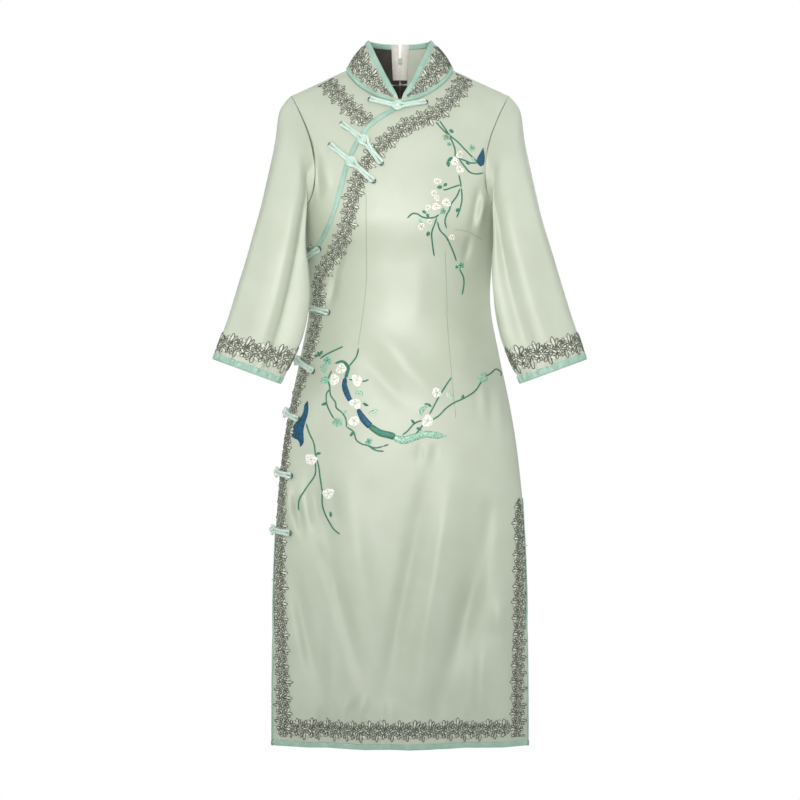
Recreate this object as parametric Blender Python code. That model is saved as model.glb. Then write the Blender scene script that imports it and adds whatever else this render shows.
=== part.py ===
"""Cheongsam dress on a hollow, worn form: cut cloth walls, bias bindings, lace tape, frog fasteners and a back zip.

Metres, +Z up. The front faces -Y and +X is the wearer's left. The origin lies between the two points
where the shoulder seams meet the neck, which is where the wearer's shoulders carry the dress.
"""

import math
from collections import namedtuple

import bmesh
import bpy
from mathutils import Vector
from mathutils.bvhtree import BVHTree

# ------------------------------------------------------------------ driving sizes
CLOTH = 0.0016  # satin and its lining together
HALF_GAP = 0.0002  # each edge stays this far short of its seam line
LIFT = 0.0007  # trim lies this far off the cloth
BINDING = 0.0012  # bias binding and piping
LACE = 0.0014  # corded lace tape
TAPE = 0.0008  # zip tape

HEM_Z = -1.141
LAPEL_END_Z = -0.306  # where the lapel edge reaches the side seam
UNDERARM_Z = -0.238
NECK_HALF = 0.090
NECK_FRONT_Z = -0.063
NECK_BACK_Z = -0.022
NECK_FRONT_POWER = 1.55  # 2 is a quarter of an ellipse, more is squarer
NECK_BACK_POWER = 2.6
SHOULDER_X = 0.184
SHOULDER_Z = -0.043
SHOULDER_Y = 0.005
SHOULDER_ROUND = 0.6
SKIRT_ROWS = 14
SLIT_ROWS = {-1: 6, 1: 7}  # rows of the skirt that each slit takes: wearer's right, wearer's left
SLIT_SPREAD = 0.004  # how far each edge stands off the seam line at the hem

BINDING_WIDTH = 0.009
BINDING_LIFT = 0.0009
CUFF_BINDING_WIDTH = 0.012
PIPING_WIDTH = 0.0075
PIPING_START = 0.0010
PIPING_LIFT = 0.0010
LACE_WIDTH = 0.032
LACE_REPEAT = 0.030
LACE_INSET = 0.026  # from a cut edge to the middle of the lace beside it
CUFF_LACE_UP = 0.042  # from the cuff edge to the middle of its lace
FROG_ARM = 0.046
FROG_ARM_WIDE = 0.0038  # half sizes of an arm, two cords side by side
FROG_ARM_HIGH = 0.0020
FROG_KNOT_R = 0.0054
FROG_END_R = 0.0046

ZIP_FIRST_ROW = 12  # row of the back where the zip ends, about hip high
ZIP_TAPE_WIDTH = 0.012
SLIDER_AT = 0.60  # share of the collar's height at the centre back
SLIDER_LENGTH = 0.009
SLIDER_WIDE = 0.0070
SLIDER_WEB = 0.0018
BRIDGE_RISE = 0.0022  # clear height under the bridge
BRIDGE_BAR = 0.0010
PULL_WIDE = 0.0056
PULL_LONG = 0.021
PULL_THICK = 0.0010
PULL_HOLE = 0.0060

# Counts of cells along each piece
SIDE_ROWS = 2
ARMHOLE_ROWS = 12
NECK_ROWS = 6
LAPEL_ROWS = SIDE_ROWS + ARMHOLE_ROWS - NECK_ROWS
FRONT_COLUMNS = 16
BACK_COLUMNS = 10
CHEST_COLUMNS = 5

Section = namedtuple("Section", "z half_width front back edge")
# edge 0.5 gives an elliptical side, and 1 a flat one that ends in a sharp edge
BACK_EDGE_MOST = 0.80  # the back's sides are never flatter than this
BODY = [
    Section(-1.160, 0.2160, 0.062, 0.052, 0.92),
    Section(-1.000, 0.2155, 0.070, 0.060, 0.82),
    Section(-0.860, 0.2135, 0.081, 0.072, 0.64),
    Section(-0.715, 0.2060, 0.092, 0.086, 0.54),
    Section(-0.632, 0.1965, 0.096, 0.094, 0.51),
    Section(-0.560, 0.1840, 0.094, 0.093, 0.58),
    Section(-0.480, 0.1670, 0.086, 0.082, 0.86),
    Section(-0.400, 0.1530, 0.082, 0.074, 1.04),
    Section(-0.330, 0.1550, 0.094, 0.076, 0.88),
    Section(-0.275, 0.1640, 0.110, 0.084, 0.66),
    Section(-0.238, 0.1730, 0.113, 0.090, 0.57),
    Section(-0.150, 0.1900, 0.108, 0.092, 0.54),
    Section(0.020, 0.2050, 0.105, 0.092, 0.52),
]

Fold = namedtuple("Fold", "top_x top_z low_x low_z width depth face")
# Soft ridges (depth above 0) and valleys running down the skirt, and the fullness over the bust
FOLDS = [
    Fold(-0.105, -0.640, -0.055, -1.180, 0.034, 0.0055, -1),
    Fold(0.105, -0.620, 0.015, -1.180, 0.036, 0.0065, -1),
    Fold(0.165, -0.760, 0.176, -1.180, 0.026, 0.0035, -1),
    Fold(0.122, -0.700, 0.108, -1.180, 0.034, -0.0050, -1),
    Fold(-0.142, -0.800, -0.122, -1.180, 0.026, -0.0045, -1),
    Fold(0.070, -0.700, 0.085, -1.180, 0.042, 0.0060, 1),
    Fold(-0.060, -0.680, -0.100, -1.180, 0.036, -0.0055, 1),
    Fold(0.150, -0.860, 0.160, -1.180, 0.028, -0.0045, 1),
    Fold(0.078, -0.215, 0.078, -0.320, 0.050, 0.0100, -1),
    Fold(-0.078, -0.215, -0.078, -0.320, 0.050, 0.0100, -1),
]

# Armhole seam on the +X side, from the underarm up to the shoulder point, as (x, z)
ARMHOLE_FRONT = [(0.1730, -0.238), (0.1500, -0.222), (0.1420, -0.180), (0.1480, -0.130), (0.1640, -0.085)]
ARMHOLE_BACK = [(0.1730, -0.238), (0.1610, -0.220), (0.1550, -0.178), (0.1580, -0.130), (0.1690, -0.085)]
# Lapel edge, from the side seam up to the centre front of the neck, as (x, z)
LAPEL = [(-0.1400, -0.296), (-0.1160, -0.252), (-0.1010, -0.200), (-0.0860, -0.150), (-0.0530, -0.098)]

Station = namedtuple("Station", "outer_x outer_z inner_x inner_z middle_y half_depth armhole_share pull")
# Rings of the sleeve on the +X side, from the armhole down to the cuff
SLEEVE = [
    Station(0.184, -0.043, 0.173, -0.238, 0.000, 0.058, 1.00, 0.000),
    Station(0.203, -0.070, 0.181, -0.250, -0.008, 0.062, 0.72, 0.008),
    Station(0.210, -0.122, 0.181, -0.270, -0.022, 0.062, 0.42, 0.020),
    Station(0.222, -0.184, 0.174, -0.302, -0.038, 0.060, 0.16, 0.022),
    Station(0.237, -0.250, 0.165, -0.343, -0.050, 0.055, 0.04, 0.015),
    Station(0.256, -0.318, 0.163, -0.392, -0.060, 0.049, 0.00, 0.007),
    Station(0.278, -0.392, 0.173, -0.450, -0.067, 0.042, 0.00, 0.002),
    Station(0.296, -0.448, 0.189, -0.494, -0.071, 0.036, 0.00, 0.000),
    Station(0.310, -0.490, 0.204, -0.530, -0.073, 0.031, 0.00, 0.000),
]

CollarSection = namedtuple("CollarSection", "share top_x top_y top_z")
# Upper edge of the stand collar on the +X side, by share of the neck seam from centre front to centre back
COLLAR = [
    CollarSection(0.00, 0.0060, -0.0700, -0.0470),
    CollarSection(0.12, 0.0175, -0.0655, -0.0270),
    CollarSection(0.27, 0.0345, -0.0520, 0.0070),
    CollarSection(0.42, 0.0480, -0.0280, 0.0370),
    CollarSection(0.54, 0.0525, -0.0020, 0.0490),
    CollarSection(0.70, 0.0460, 0.0260, 0.0490),
    CollarSection(0.86, 0.0250, 0.0440, 0.0480),
    CollarSection(1.00, 0.0034, 0.0490, 0.0475),
]

# Middle of the lace round the neck and along the lapel, from the shoulder seam to the side, as (x, z)
LACE_FRONT = [
    (0.1090, -0.0140), (0.0980, -0.0390), (0.0690, -0.0680), (0.0390, -0.0870), (0.0050, -0.1010),
    (-0.0270, -0.1220), (-0.0480, -0.1440), (-0.0700, -0.1770), (-0.0820, -0.2180), (-0.0880, -0.2500),
    (-0.1010, -0.2890), (-0.1210, -0.3220),
]
LACE_SIDE_START_Z = -0.352  # below this the lace keeps its inset from the side seam
LACE_CHEST = [(-0.1270, -0.0230), (-0.0960, -0.0530), (-0.0730, -0.0740)]
LACE_BACK = [(0.1110, -0.0150), (0.0960, -0.0370), (0.0560, -0.0500), (0.0060, -0.0540)]

FrontFrog = namedtuple("FrontFrog", "name x z angle")
FRONT_FROGS = [
    FrontFrog("neck", -0.005, -0.069, 4.0),
    FrontFrog("chest_upper", -0.0570, -0.128, -44.0),
    FrontFrog("chest_lower", -0.0830, -0.160, -42.0),
]
SideFrog = namedtuple("SideFrog", "name z rise")
# Frogs that straddle the wearer's right side seam; rise is how far the front arm climbs
SIDE_FROGS = [
    SideFrog("underarm", -0.318, 0.014),
    SideFrog("waist_upper", -0.402, -0.009),
    SideFrog("waist_lower", -0.492, -0.018),
    SideFrog("hip_upper", -0.580, -0.010),
    SideFrog("hip_lower", -0.680, -0.005),
    SideFrog("slit_top", -0.777, -0.004),
]

SATIN = ("sage_satin", (0.62, 0.68, 0.57), 0.36)
MINT = ("mint_satin", (0.50, 0.71, 0.63), 0.34)
LACE_THREAD = ("grey_green_lace", (0.33, 0.37, 0.30), 0.78)
FROG_SATIN = ("pale_mint_cord", (0.63, 0.80, 0.73), 0.38)
ZIP_TAPE = ("ivory_zip_tape", (0.80, 0.80, 0.76), 0.70)
ZIP_METAL = ("painted_zip_metal", (0.62, 0.68, 0.60), 0.35)


# Settings of the shapes above
SIDES = (1, -1)
NAMES = {1: "left", -1: "right"}
SHARP = math.radians(40)
SAME_PLACE = 0.0001
RIM_ORDER = Vector((1.0, 0.4, 0.7))
CHEST_TIP = 0.12  # share of the first row that the chest panel's narrow tip leaves out
LAPEL_FOOT_GAP = 0.0008  # the chest panel stays this much further back near the foot of the lapel
LAPEL_FOOT_ROWS = 3
CREASE_SHARP = 0.45  # cosine of half the turn at a crease where each wall keeps its own direction
CREASE_FLAT = 0.80  # and where both take the mean
SLEEVE_PULL_TURN = 0.45
COLLAR_ROWS = 3
COLLAR_BOW = 0.004
COLLAR_FULL = 0.040
BAND_MOST = 0.42
SLIT_BINDING_WIDTH = 0.006
LACE_CLEAR = 0.0022
COLLAR_LACE_LIFT = 0.0010
COLLAR_LACE_LEAST = 0.40  # the lace starts where it can take this share of the collar's height
LAY_REACH = 0.030
LEAST_LIFT = 0.0005
CLEAR_PASSES = 3
TRIM_TOP = LIFT + LACE + 0.0012  # a frog lies on top of the lace
FROG_LIFT = 0.0004
FROG_END_SWELL = 1.2
FROG_LOOP_START = 0.20
KNOT_BESIDE = 0.001  # the knot sits this share of an arm to its own side
CORD_SIDES = 6


# ------------------------------------------------------------------ curves and tables
def through(points, at):
    """The point at share `at` of a Catmull-Rom curve through the points, evenly by their index."""
    last = len(points) - 1
    place = min(max(at, 0.0), 1.0) * last
    i = min(int(place), last - 1)
    f = place - i
    a, b, c, d = (points[min(max(i + k, 0), last)] for k in (-1, 0, 1, 2))
    return tuple(
        q + 0.5 * f * (r - p + f * (2 * p - 5 * q + 4 * r - s + f * (3 * (q - r) + s - p)))
        for p, q, r, s in zip(a, b, c, d)
    )


def evenly(points, count, fine=160):
    """Points at equal steps of length along the curve through the given points."""
    dense = [Vector(through(points, k / fine)) for k in range(fine + 1)]
    lengths = [0.0]
    for p, q in zip(dense, dense[1:]):
        lengths.append(lengths[-1] + (q - p).length)
    made = []
    k = 0
    for step in range(count + 1):
        want = lengths[-1] * step / count
        while k < fine - 1 and lengths[k + 1] < want:
            k += 1
        share = (want - lengths[k]) / max(lengths[k + 1] - lengths[k], 1e-12)
        made.append(dense[k].lerp(dense[k + 1], min(max(share, 0.0), 1.0)))
    return made


def row_at(table, value):
    """The row of a table at `value` of its first column, on a smooth curve through the rows."""
    keys = [row[0] for row in table]
    i = max(k for k in range(len(keys) - 1) if keys[k] <= value or k == 0)
    share = (value - keys[i]) / (keys[i + 1] - keys[i])
    return type(table[0])(*through(table, (i + share) / (len(keys) - 1)))


# ------------------------------------------------------------------ the body's form
def shoulder_z(x):
    """Height of the shoulder seam at x."""
    slope = (SHOULDER_Z + 0.0) / (SHOULDER_X - NECK_HALF)
    return slope * max(abs(x) - NECK_HALF, 0.0) + 0.004 * max(1 - abs(x) / NECK_HALF, 0.0)


def fold_depth(x, z, face):
    """How far the folds move the cloth out at a point of the front (face -1) or back (+1)."""
    out = 0.0
    for fold in FOLDS:
        if fold.face != face:
            continue
        down = (fold.top_z - z) / (fold.top_z - fold.low_z)
        if not 0 < down < 1:
            continue
        middle = fold.top_x + (fold.low_x - fold.top_x) * down
        closes = 1.0 if fold.low_z < HEM_Z else 1 - down
        along = math.sin(min(down * 2.2, 1.0) * math.pi / 2) ** 2 * min(closes * 2.2, 1.0)
        out += fold.depth * along * math.exp(-(((x - middle) / fold.width) ** 2))
    return out


def body_y(x, z, face):
    """The y of the outer surface of the front or back at (x, z)."""
    section = row_at(BODY, z)
    depth = section.front if face < 0 else section.back
    edge = section.edge if face < 0 else min(section.edge, BACK_EDGE_MOST)
    share = max(0.0, 1 - (x / section.half_width) ** 2) ** edge
    out = depth * share + fold_depth(x, z, face) * min(share * 3, 1.0)
    y = face * out
    if z > UNDERARM_Z:
        top = shoulder_z(x)
        fall = min(max((top - z) / (top - UNDERARM_Z), 0.0), 1.0)
        y = SHOULDER_Y + (y - SHOULDER_Y) * (1 - (1 - fall) ** 2) ** SHOULDER_ROUND
    return y


def body_point(x, z, face):
    return Vector((x, body_y(x, z, face), z))


def side_x(z):
    return row_at(BODY, z).half_width


def from_side(z, distance, side, face, fine=120):
    """The (x, z) on the front or back that lies `distance` along the cloth from the side seam."""
    half = side_x(z)
    last = Vector((half, 0.0))
    gone = 0.0
    for k in range(1, fine + 1):
        x = half * math.cos(math.pi / 2 * k / fine)
        point = Vector((x, body_y(x * side, z, face)))
        gone += (point - last).length
        if gone >= distance:
            return x * side, z
        last = point
    return 0.0, z


def skirt_levels():
    """Heights of the rows from the hem up to the row below the lapel's end."""
    return [HEM_Z + (LAPEL_END_Z - HEM_Z) * k / SKIRT_ROWS for k in range(SKIRT_ROWS)]


def slit_stand(z, side):
    """How far a slit edge stands off the side seam line at height z."""
    top = skirt_levels()[SLIT_ROWS[side]]
    return SLIT_SPREAD * max(top - z, 0.0) / (top - HEM_Z)


# ------------------------------------------------------------------ outlines of the cut pieces, in (x, z)
def armhole(face, side):
    """Armhole seam from the underarm to the shoulder point."""
    line = (ARMHOLE_FRONT if face < 0 else ARMHOLE_BACK) + [(SHOULDER_X, SHOULDER_Z)]
    return [Vector((side * p.x, p.y)) for p in evenly(line, ARMHOLE_ROWS)]


def side_and_armhole(face, side):
    rise = (UNDERARM_Z - LAPEL_END_Z) / SIDE_ROWS
    heights = [LAPEL_END_Z + rise * k for k in range(SIDE_ROWS)]
    return [Vector((side * side_x(z), z)) for z in heights] + armhole(face, side)


def neck(face, side):
    """Neck seam from the centre to the shoulder."""
    drop, power = (NECK_FRONT_Z, NECK_FRONT_POWER) if face < 0 else (NECK_BACK_Z, NECK_BACK_POWER)
    edge = []
    for k in range(NECK_ROWS + 1):
        across = math.sin(math.pi / 2 * (k / NECK_ROWS) ** 0.9)
        edge.append(Vector((side * NECK_HALF * across, drop * (1 - across**power) ** (1 / power))))
    return edge


def lapel_and_neck(side):
    """The lapel from the wearer's right side seam up to the centre front, then the neck seam of one side."""
    line = [(-side_x(LAPEL_END_Z), LAPEL_END_Z)] + LAPEL + [(0.0, NECK_FRONT_Z)]
    return evenly(line, LAPEL_ROWS) + neck(-1, side)[1:]


def back_centre_and_neck(side):
    low, high = Vector((0.0, LAPEL_END_Z)), Vector((0.0, NECK_BACK_Z))
    return [low.lerp(high, k / LAPEL_ROWS) for k in range(LAPEL_ROWS + 1)] + neck(1, side)[1:]


def shoulder(side, columns):
    """Shoulder seam from the neck out."""
    across = [NECK_HALF + (SHOULDER_X - NECK_HALF) * k / columns for k in range(columns + 1)]
    return [Vector((side * x, shoulder_z(x))) for x in across]


def patch(bottom, top, left, right):
    """Rows of (x, z) that fill the outline given by its four edges."""
    across, up = len(bottom) - 1, len(left) - 1
    rows = []
    for j in range(up + 1):
        v = j / up
        row = []
        for i in range(across + 1):
            u = i / across
            edges = bottom[i] * (1 - v) + top[i] * v + left[j] * (1 - u) + right[j] * u
            corners = (
                bottom[0] * (1 - u) * (1 - v) + bottom[-1] * u * (1 - v) + top[0] * (1 - u) * v + top[-1] * u * v
            )
            row.append(edges - corners)
        rows.append(row)
    return rows


def on_body(rows, face):
    return [[body_point(p.x, p.y, face) for p in row] for row in rows]


def level(z, columns, start, end):
    """A level row of (x, z) between two shares of the half turn, -1 at the wearer's right side and 1 at the left."""
    half = side_x(z)
    return [
        Vector((half * math.sin(math.pi / 2 * (start + (end - start) * k / columns)), z)) for k in range(columns + 1)
    ]


def main_front_rows():
    skirt = [level(z, FRONT_COLUMNS, -1, 1) for z in skirt_levels()]
    bottom = level(LAPEL_END_Z, FRONT_COLUMNS, -1, 1)
    chest = patch(bottom, shoulder(1, FRONT_COLUMNS), lapel_and_neck(1), side_and_armhole(-1, 1))
    return open_slits(on_body(skirt + chest, -1), -1, (-1, 1))


def chest_rows():
    """The smaller front under the lapel, from the wearer's right armhole to the lapel and neck."""
    left, right = side_and_armhole(-1, -1), lapel_and_neck(-1)
    tip_z = left[0].y + CHEST_TIP * (left[1].y - left[0].y)
    tip = (Vector((-side_x(tip_z), tip_z)), right[0].lerp(right[1], CHEST_TIP))
    low, rise = [
        [start.lerp(end, k / CHEST_COLUMNS) for k in range(CHEST_COLUMNS + 1)]
        for start, end in (tip, (left[1], right[1]))
    ]
    return on_body([low] + patch(rise, shoulder(-1, CHEST_COLUMNS)[::-1], left[1:], right[1:]), -1)


def back_rows(side):
    """One half of the back, its columns running towards the wearer's right so that it faces out."""
    ends = (1, 0) if side > 0 else (0, -1)
    skirt = [level(z, BACK_COLUMNS, *ends) for z in skirt_levels()]
    edges = [side_and_armhole(1, side), back_centre_and_neck(side)][::side]
    top = shoulder(side, BACK_COLUMNS)[::-side]
    return open_slits(on_body(skirt + patch(level(LAPEL_END_Z, BACK_COLUMNS, *ends), top, *edges), 1), 1, (side,))


def open_slits(rows, face, sides):
    """Moves the side edges below each slit's top off the seam line."""
    for row in rows:
        for side in sides:
            end = row[-1] if (row[-1].x > row[0].x) == (side > 0) else row[0]
            end.y += face * slit_stand(end.z, side)
    return rows


def sleeve_rows(side, front_edge, back_edge):
    """Rings from the cuff up to the armhole, each starting at the underarm and going round by the front."""
    loop = front_edge + back_edge[-2:0:-1]
    count = len(loop)

    def ring_point(station, angle):
        outer = Vector((side * station.outer_x, station.middle_y, station.outer_z))
        inner = Vector((side * station.inner_x, station.middle_y, station.inner_z))
        point = (outer + inner) / 2 + (outer - inner) / 2 * math.cos(angle)
        point.y -= station.half_depth * math.sin(angle)
        point.x -= side * station.pull * max(math.sin(angle - SLEEVE_PULL_TURN), 0.0) ** 2
        return point

    rows = []
    for station in reversed(SLEEVE):
        row = []
        for k in range(count):
            angle = math.pi * (1 - 2 * k / count)
            off = loop[k] - ring_point(SLEEVE[0], angle)
            row.append(ring_point(station, angle) + off * station.armhole_share)
        rows.append(row if side > 0 else row[::-1])
    return rows


def collar_rows(neck, side):
    """Half of the stand collar. neck runs from centre front to centre back along the seam."""
    gone = [0.0]
    for p, q in zip(neck, neck[1:]):
        gone.append(gone[-1] + (q - p).length)
    tops = []
    for distance in gone:
        row = row_at(COLLAR, distance / gone[-1])
        tops.append(Vector((side * row.top_x, row.top_y, row.top_z)))
    rows = []
    for j in range(COLLAR_ROWS + 1):
        v = j / COLLAR_ROWS
        row = []
        for base, top in zip(neck, tops):
            out = Vector((base.x, base.y, 0.0)).normalized()
            bow = COLLAR_BOW * math.sin(math.pi * v) * min((top - base).length / COLLAR_FULL, 1.0)
            row.append(base.lerp(top, v) + out * bow)
        rows.append(row if side > 0 else row[::-1])
    return rows


# ------------------------------------------------------------------ cloth walls
class Cloth:
    """A cut piece: a grid of points on its outer face, and the outward direction at each.

    Rows run upwards and columns to the right as seen from outside.
    """

    def __init__(self, name, part, rows, closed=False):
        self.name, self.part, self.rows, self.closed = name, part, rows, closed
        self.normals = [[self.outward(j, i) for i in range(len(row))] for j, row in enumerate(rows)]

    def outward(self, j, i):
        row, last = self.rows[j], len(self.rows[j]) - 1
        before = row[i - 1] if self.closed else row[max(i - 1, 0)]
        after = row[(i + 1) % len(row)] if self.closed else row[min(i + 1, last)]
        up = self.rows[min(j + 1, len(self.rows) - 1)][i] - self.rows[max(j - 1, 0)][i]
        return (after - before).cross(up).normalized()

    def column(self, i):
        return [row[i] for row in self.rows]

    def edge(self, where):
        """Places (row, column) along an edge, and the step from there into the piece."""
        last_row, last_column = len(self.rows) - 1, len(self.rows[0]) - 1
        return {
            "bottom": ([(0, i) for i in range(last_column + 1)], (1, 0)),
            "top": ([(last_row, i) for i in range(last_column + 1)], (-1, 0)),
            "left": ([(j, 0) for j in range(last_row + 1)], (0, 1)),
            "right": ([(j, last_column) for j in range(last_row + 1)], (0, -1)),
        }[where]

    def border(self):
        sides = ("bottom", "top") if self.closed else ("bottom", "top", "left", "right")
        return {place for where in sides for place in self.edge(where)[0]}

    def inset(self, where, gap=HALF_GAP, count=None):
        """Draws an edge back from its seam, over the first `count` places or all of them."""
        places, (dj, di) = self.edge(where)
        line = [self.rows[j][i].copy() for j, i in places]
        for k, (j, i) in enumerate(places[:count]):
            along = (line[min(k + 1, len(line) - 1)] - line[max(k - 1, 0)]).normalized()
            step = self.rows[j + dj][i + di] - self.rows[j][i]
            self.rows[j][i] = self.rows[j][i] + (step - along * step.dot(along)).normalized() * gap

    def wall(self):
        """The solid: the outer grid, the same grid moved in by the cloth, and the rims between them."""
        bm = bmesh.new()
        outer = [[bm.verts.new(p) for p in row] for row in self.rows]
        inner = [
            [bm.verts.new(p - n * CLOTH) for p, n in zip(*lines)] for lines in zip(self.rows, self.normals)
        ]
        join_skins(bm, outer, inner, closed_across=self.closed)
        return add_object(self.name, bm, SATIN)


def join_skins(bm, outer, inner, closed_across=False, closed_along=False):
    """Faces of two matching grids and of the rims that join them."""
    across, along = len(outer[0]), len(outer)
    columns = range(across if closed_across else across - 1)
    rows = range(along if closed_along else along - 1)
    for j in rows:
        k = (j + 1) % along
        for i in columns:
            m = (i + 1) % across
            for skin in (outer, inner):
                bm.faces.new((skin[j][i], skin[j][m], skin[k][m]))
                bm.faces.new((skin[j][i], skin[k][m], skin[k][i]))
    if not closed_along:
        for j in (0, along - 1):
            for i in columns:
                rim(bm, outer[j][i], outer[j][(i + 1) % across], inner[j][i], inner[j][(i + 1) % across])
    if not closed_across:
        for i in (0, across - 1):
            for j in rows:
                rim(bm, outer[j][i], outer[(j + 1) % along][i], inner[j][i], inner[(j + 1) % along][i])


def rim(bm, outer_a, outer_b, inner_a, inner_b):
    """Two triangles across a rim, split the same way on both sides of a seam."""
    if (outer_b.co - outer_a.co).dot(RIM_ORDER) < 0:
        outer_a, outer_b, inner_a, inner_b = outer_b, outer_a, inner_b, inner_a
    bm.faces.new((outer_a, outer_b, inner_b))
    bm.faces.new((outer_a, inner_b, inner_a))


def share_normals(cloths):
    """Where pieces meet, gives their points one direction, so that the rims face each other squarely.

    In a sharp valley, such as the underarm, each piece keeps its own.
    """
    meetings = []
    for cloth in cloths:
        for j, i in cloth.border():
            point = cloth.rows[j][i]
            found = next((m for place, m in meetings if (place - point).length < SAME_PLACE), None)
            if found is None:
                found = []
                meetings.append((point, found))
            found.append((cloth, j, i))
    for _, members in meetings:
        by_part = {}
        for cloth, j, i in members:
            by_part[cloth.part] = by_part.get(cloth.part, Vector()) + cloth.normals[j][i]
        own = {part: total.normalized() for part, total in by_part.items()}
        mean = sum(own.values(), Vector()).normalized()
        open_by = (min(mean.dot(n) for n in own.values()) - CREASE_SHARP) / (CREASE_FLAT - CREASE_SHARP)
        for cloth, j, i in members:
            cloth.normals[j][i] = own[cloth.part].lerp(mean, min(max(open_by, 0.0), 1.0)).normalized()


def square_shoulder(cloth):
    """Turns a body piece's outward direction at the shoulder seam square to the seam."""
    lean = (SHOULDER_X - NECK_HALF) / -SHOULDER_Z
    for j, i in cloth.edge("top")[0]:
        side = math.copysign(1.0, cloth.rows[j][i].x)
        cloth.normals[j][i] = Vector((side, 0.0, lean)).normalized()


# ------------------------------------------------------------------ objects
def material(finish):
    name, colour, roughness = finish
    made = bpy.data.materials.get(name)
    if made is None:
        made = bpy.data.materials.new(name)
        made.use_nodes = True
        shader = made.node_tree.nodes["Principled BSDF"]
        shader.inputs["Base Color"].default_value = (*colour, 1.0)
        shader.inputs["Roughness"].default_value = roughness
        shader.inputs["Metallic"].default_value = 0.0
    return made


def add_object(name, bm, finish):
    bmesh.ops.recalc_face_normals(bm, faces=bm.faces)
    mesh = bpy.data.meshes.new(name)
    bm.to_mesh(mesh)
    bm.free()
    mesh.materials.append(material(finish))
    mesh.shade_smooth()
    mesh.set_sharp_from_angle(angle=SHARP)
    made = bpy.data.objects.new(name, mesh)
    bpy.context.scene.collection.objects.link(made)
    made.parent = bpy.data.objects["dress"]
    return made


def ribbon(name, lines, thickness, finish, closed=False):
    """A tape. Each line across it is a row of (point on its under side, outward direction)."""
    bm = bmesh.new()
    under = [[bm.verts.new(p) for p, _ in line] for line in lines]
    over = [[bm.verts.new(p + n * thickness) for p, n in line] for line in lines]
    join_skins(bm, over, under, closed_along=closed)
    return add_object(name, bm, finish)


# ------------------------------------------------------------------ bindings, from the cut edges' own points
def edge_lines(cloth, where, width, lift=LIFT, most=1.0, start=0.0):
    """Lines across a band that lies along an edge: at its start, part way, and at its width.

    most is the largest share of the piece's own depth there that the band may take.
    """
    places, (dj, di) = cloth.edge(where)
    depth = len(cloth.rows) if dj else len(cloth.rows[0])
    lines = []
    for k, (j, i) in enumerate(places):
        run = [(cloth.rows[j + dj * s][i + di * s], cloth.normals[j + dj * s][i + di * s]) for s in range(depth)]
        steps = [(q[0] - p[0]).length for p, q in zip(run, run[1:])]
        before, after = places[max(k - 1, 0)], places[min(k + 1, len(places) - 1)]
        along = (cloth.rows[after[0]][after[1]] - cloth.rows[before[0]][before[1]]).normalized()
        slant = max(along.cross((run[1][0] - run[0][0]).normalized()).length, 0.5)
        reach = min(width / slant, sum(steps) * most)
        part_way = steps[0] if start < steps[0] < reach * 0.9 else (start + reach) / 2
        line = []
        for want in (start, part_way, reach):
            s, left = 0, want
            while s < len(steps) - 1 and left > steps[s]:
                left -= steps[s]
                s += 1
            share = left / steps[s]
            point = run[s][0].lerp(run[s + 1][0], share)
            normal = run[s][1].lerp(run[s + 1][1], share)
            line.append((point + normal * lift, normal))
        lines.append(line)
    return lines


def binding(name, cloth, where, width, rows=slice(None), most=1.0):
    lines = edge_lines(cloth, where, width, BINDING_LIFT, most)[rows]
    return ribbon(name, lines, BINDING, MINT, closed=cloth.closed)


def piping(name, cloth, where, rows=slice(None), most=1.0):
    """Piping beside a seam, drawn in from it a little."""
    lines = edge_lines(cloth, where, PIPING_WIDTH, PIPING_LIFT, most, PIPING_START)[rows]
    return ribbon(name, lines, BINDING, MINT)


# ------------------------------------------------------------------ lace, laid on the cloth
def tree_of(walls):
    """One search tree over the faces of several cloth walls."""
    points, faces = [], []
    for made in walls:
        start = len(points)
        points += [v.co.copy() for v in made.data.vertices]
        faces += [[start + k for k in p.vertices] for p in made.data.polygons]
    return BVHTree.FromPolygons(points, faces)


def height_over(tree, point, normal):
    """How far a point lies out from the cloth under it."""
    hit, _, _, _ = tree.ray_cast(point + normal * LAY_REACH, -normal, 2 * LAY_REACH)
    if hit is None:
        hit = tree.find_nearest(point)[0]
    return (point - hit).dot(normal)


def lay(tree, point, normal, lift=LIFT):
    """The point moved along the outward direction until it lies `lift` off the cloth."""
    return point + normal * (lift - height_over(tree, point, normal))


def clear_between(tree, lines, closed=False):
    """Raises a tape's points until the spans between them are clear of the cloth too."""
    count, across = len(lines), len(lines[0])
    for _ in range(CLEAR_PASSES):
        rise = [[0.0] * across for _ in lines]
        for j in range(count if closed else count - 1):
            k = (j + 1) % count
            for i in range(across):
                m = min(i + 1, across - 1)
                for a, b in (((j, i), (k, i)), ((j, i), (j, m)), ((j, i), (k, m))):
                    normal = (lines[a[0]][a[1]][1] + lines[b[0]][b[1]][1]).normalized()
                    for share in (0.25, 0.5, 0.75):
                        point = lines[a[0]][a[1]][0].lerp(lines[b[0]][b[1]][0], share)
                        short = LEAST_LIFT - height_over(tree, point, normal)
                        for c in (a, b):
                            rise[c[0]][c[1]] = max(rise[c[0]][c[1]], short)
        lines = [
            [(p + n * up, n) for (p, n), up in zip(line, ups)] for line, ups in zip(lines, rise)
        ]
    return lines


def body_normal(x, z, face, step=0.003):
    """Outward direction of the body's form, which near the side turns towards the side."""
    inside = math.copysign(min(abs(x), side_x(z) - 2 * step), x)
    du = body_point(inside + step, z, face) - body_point(inside - step, z, face)
    dv = body_point(inside, z + step, face) - body_point(inside, z - step, face)
    return (du.cross(dv) * -face).normalized()


def scallops(length, width=LACE_WIDTH):
    """Reach to each side at stations along a lace tape: flower heads on both edges, four stations a repeat."""
    count = max(round(length / LACE_REPEAT), 1)
    shape = [(0.32, 0.42), (0.50, 0.45), (0.36, 0.50), (0.47, 0.34)]
    return [(low * width, high * width) for low, high in shape * count] + [(shape[0][0] * width, shape[0][1] * width)]


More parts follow.
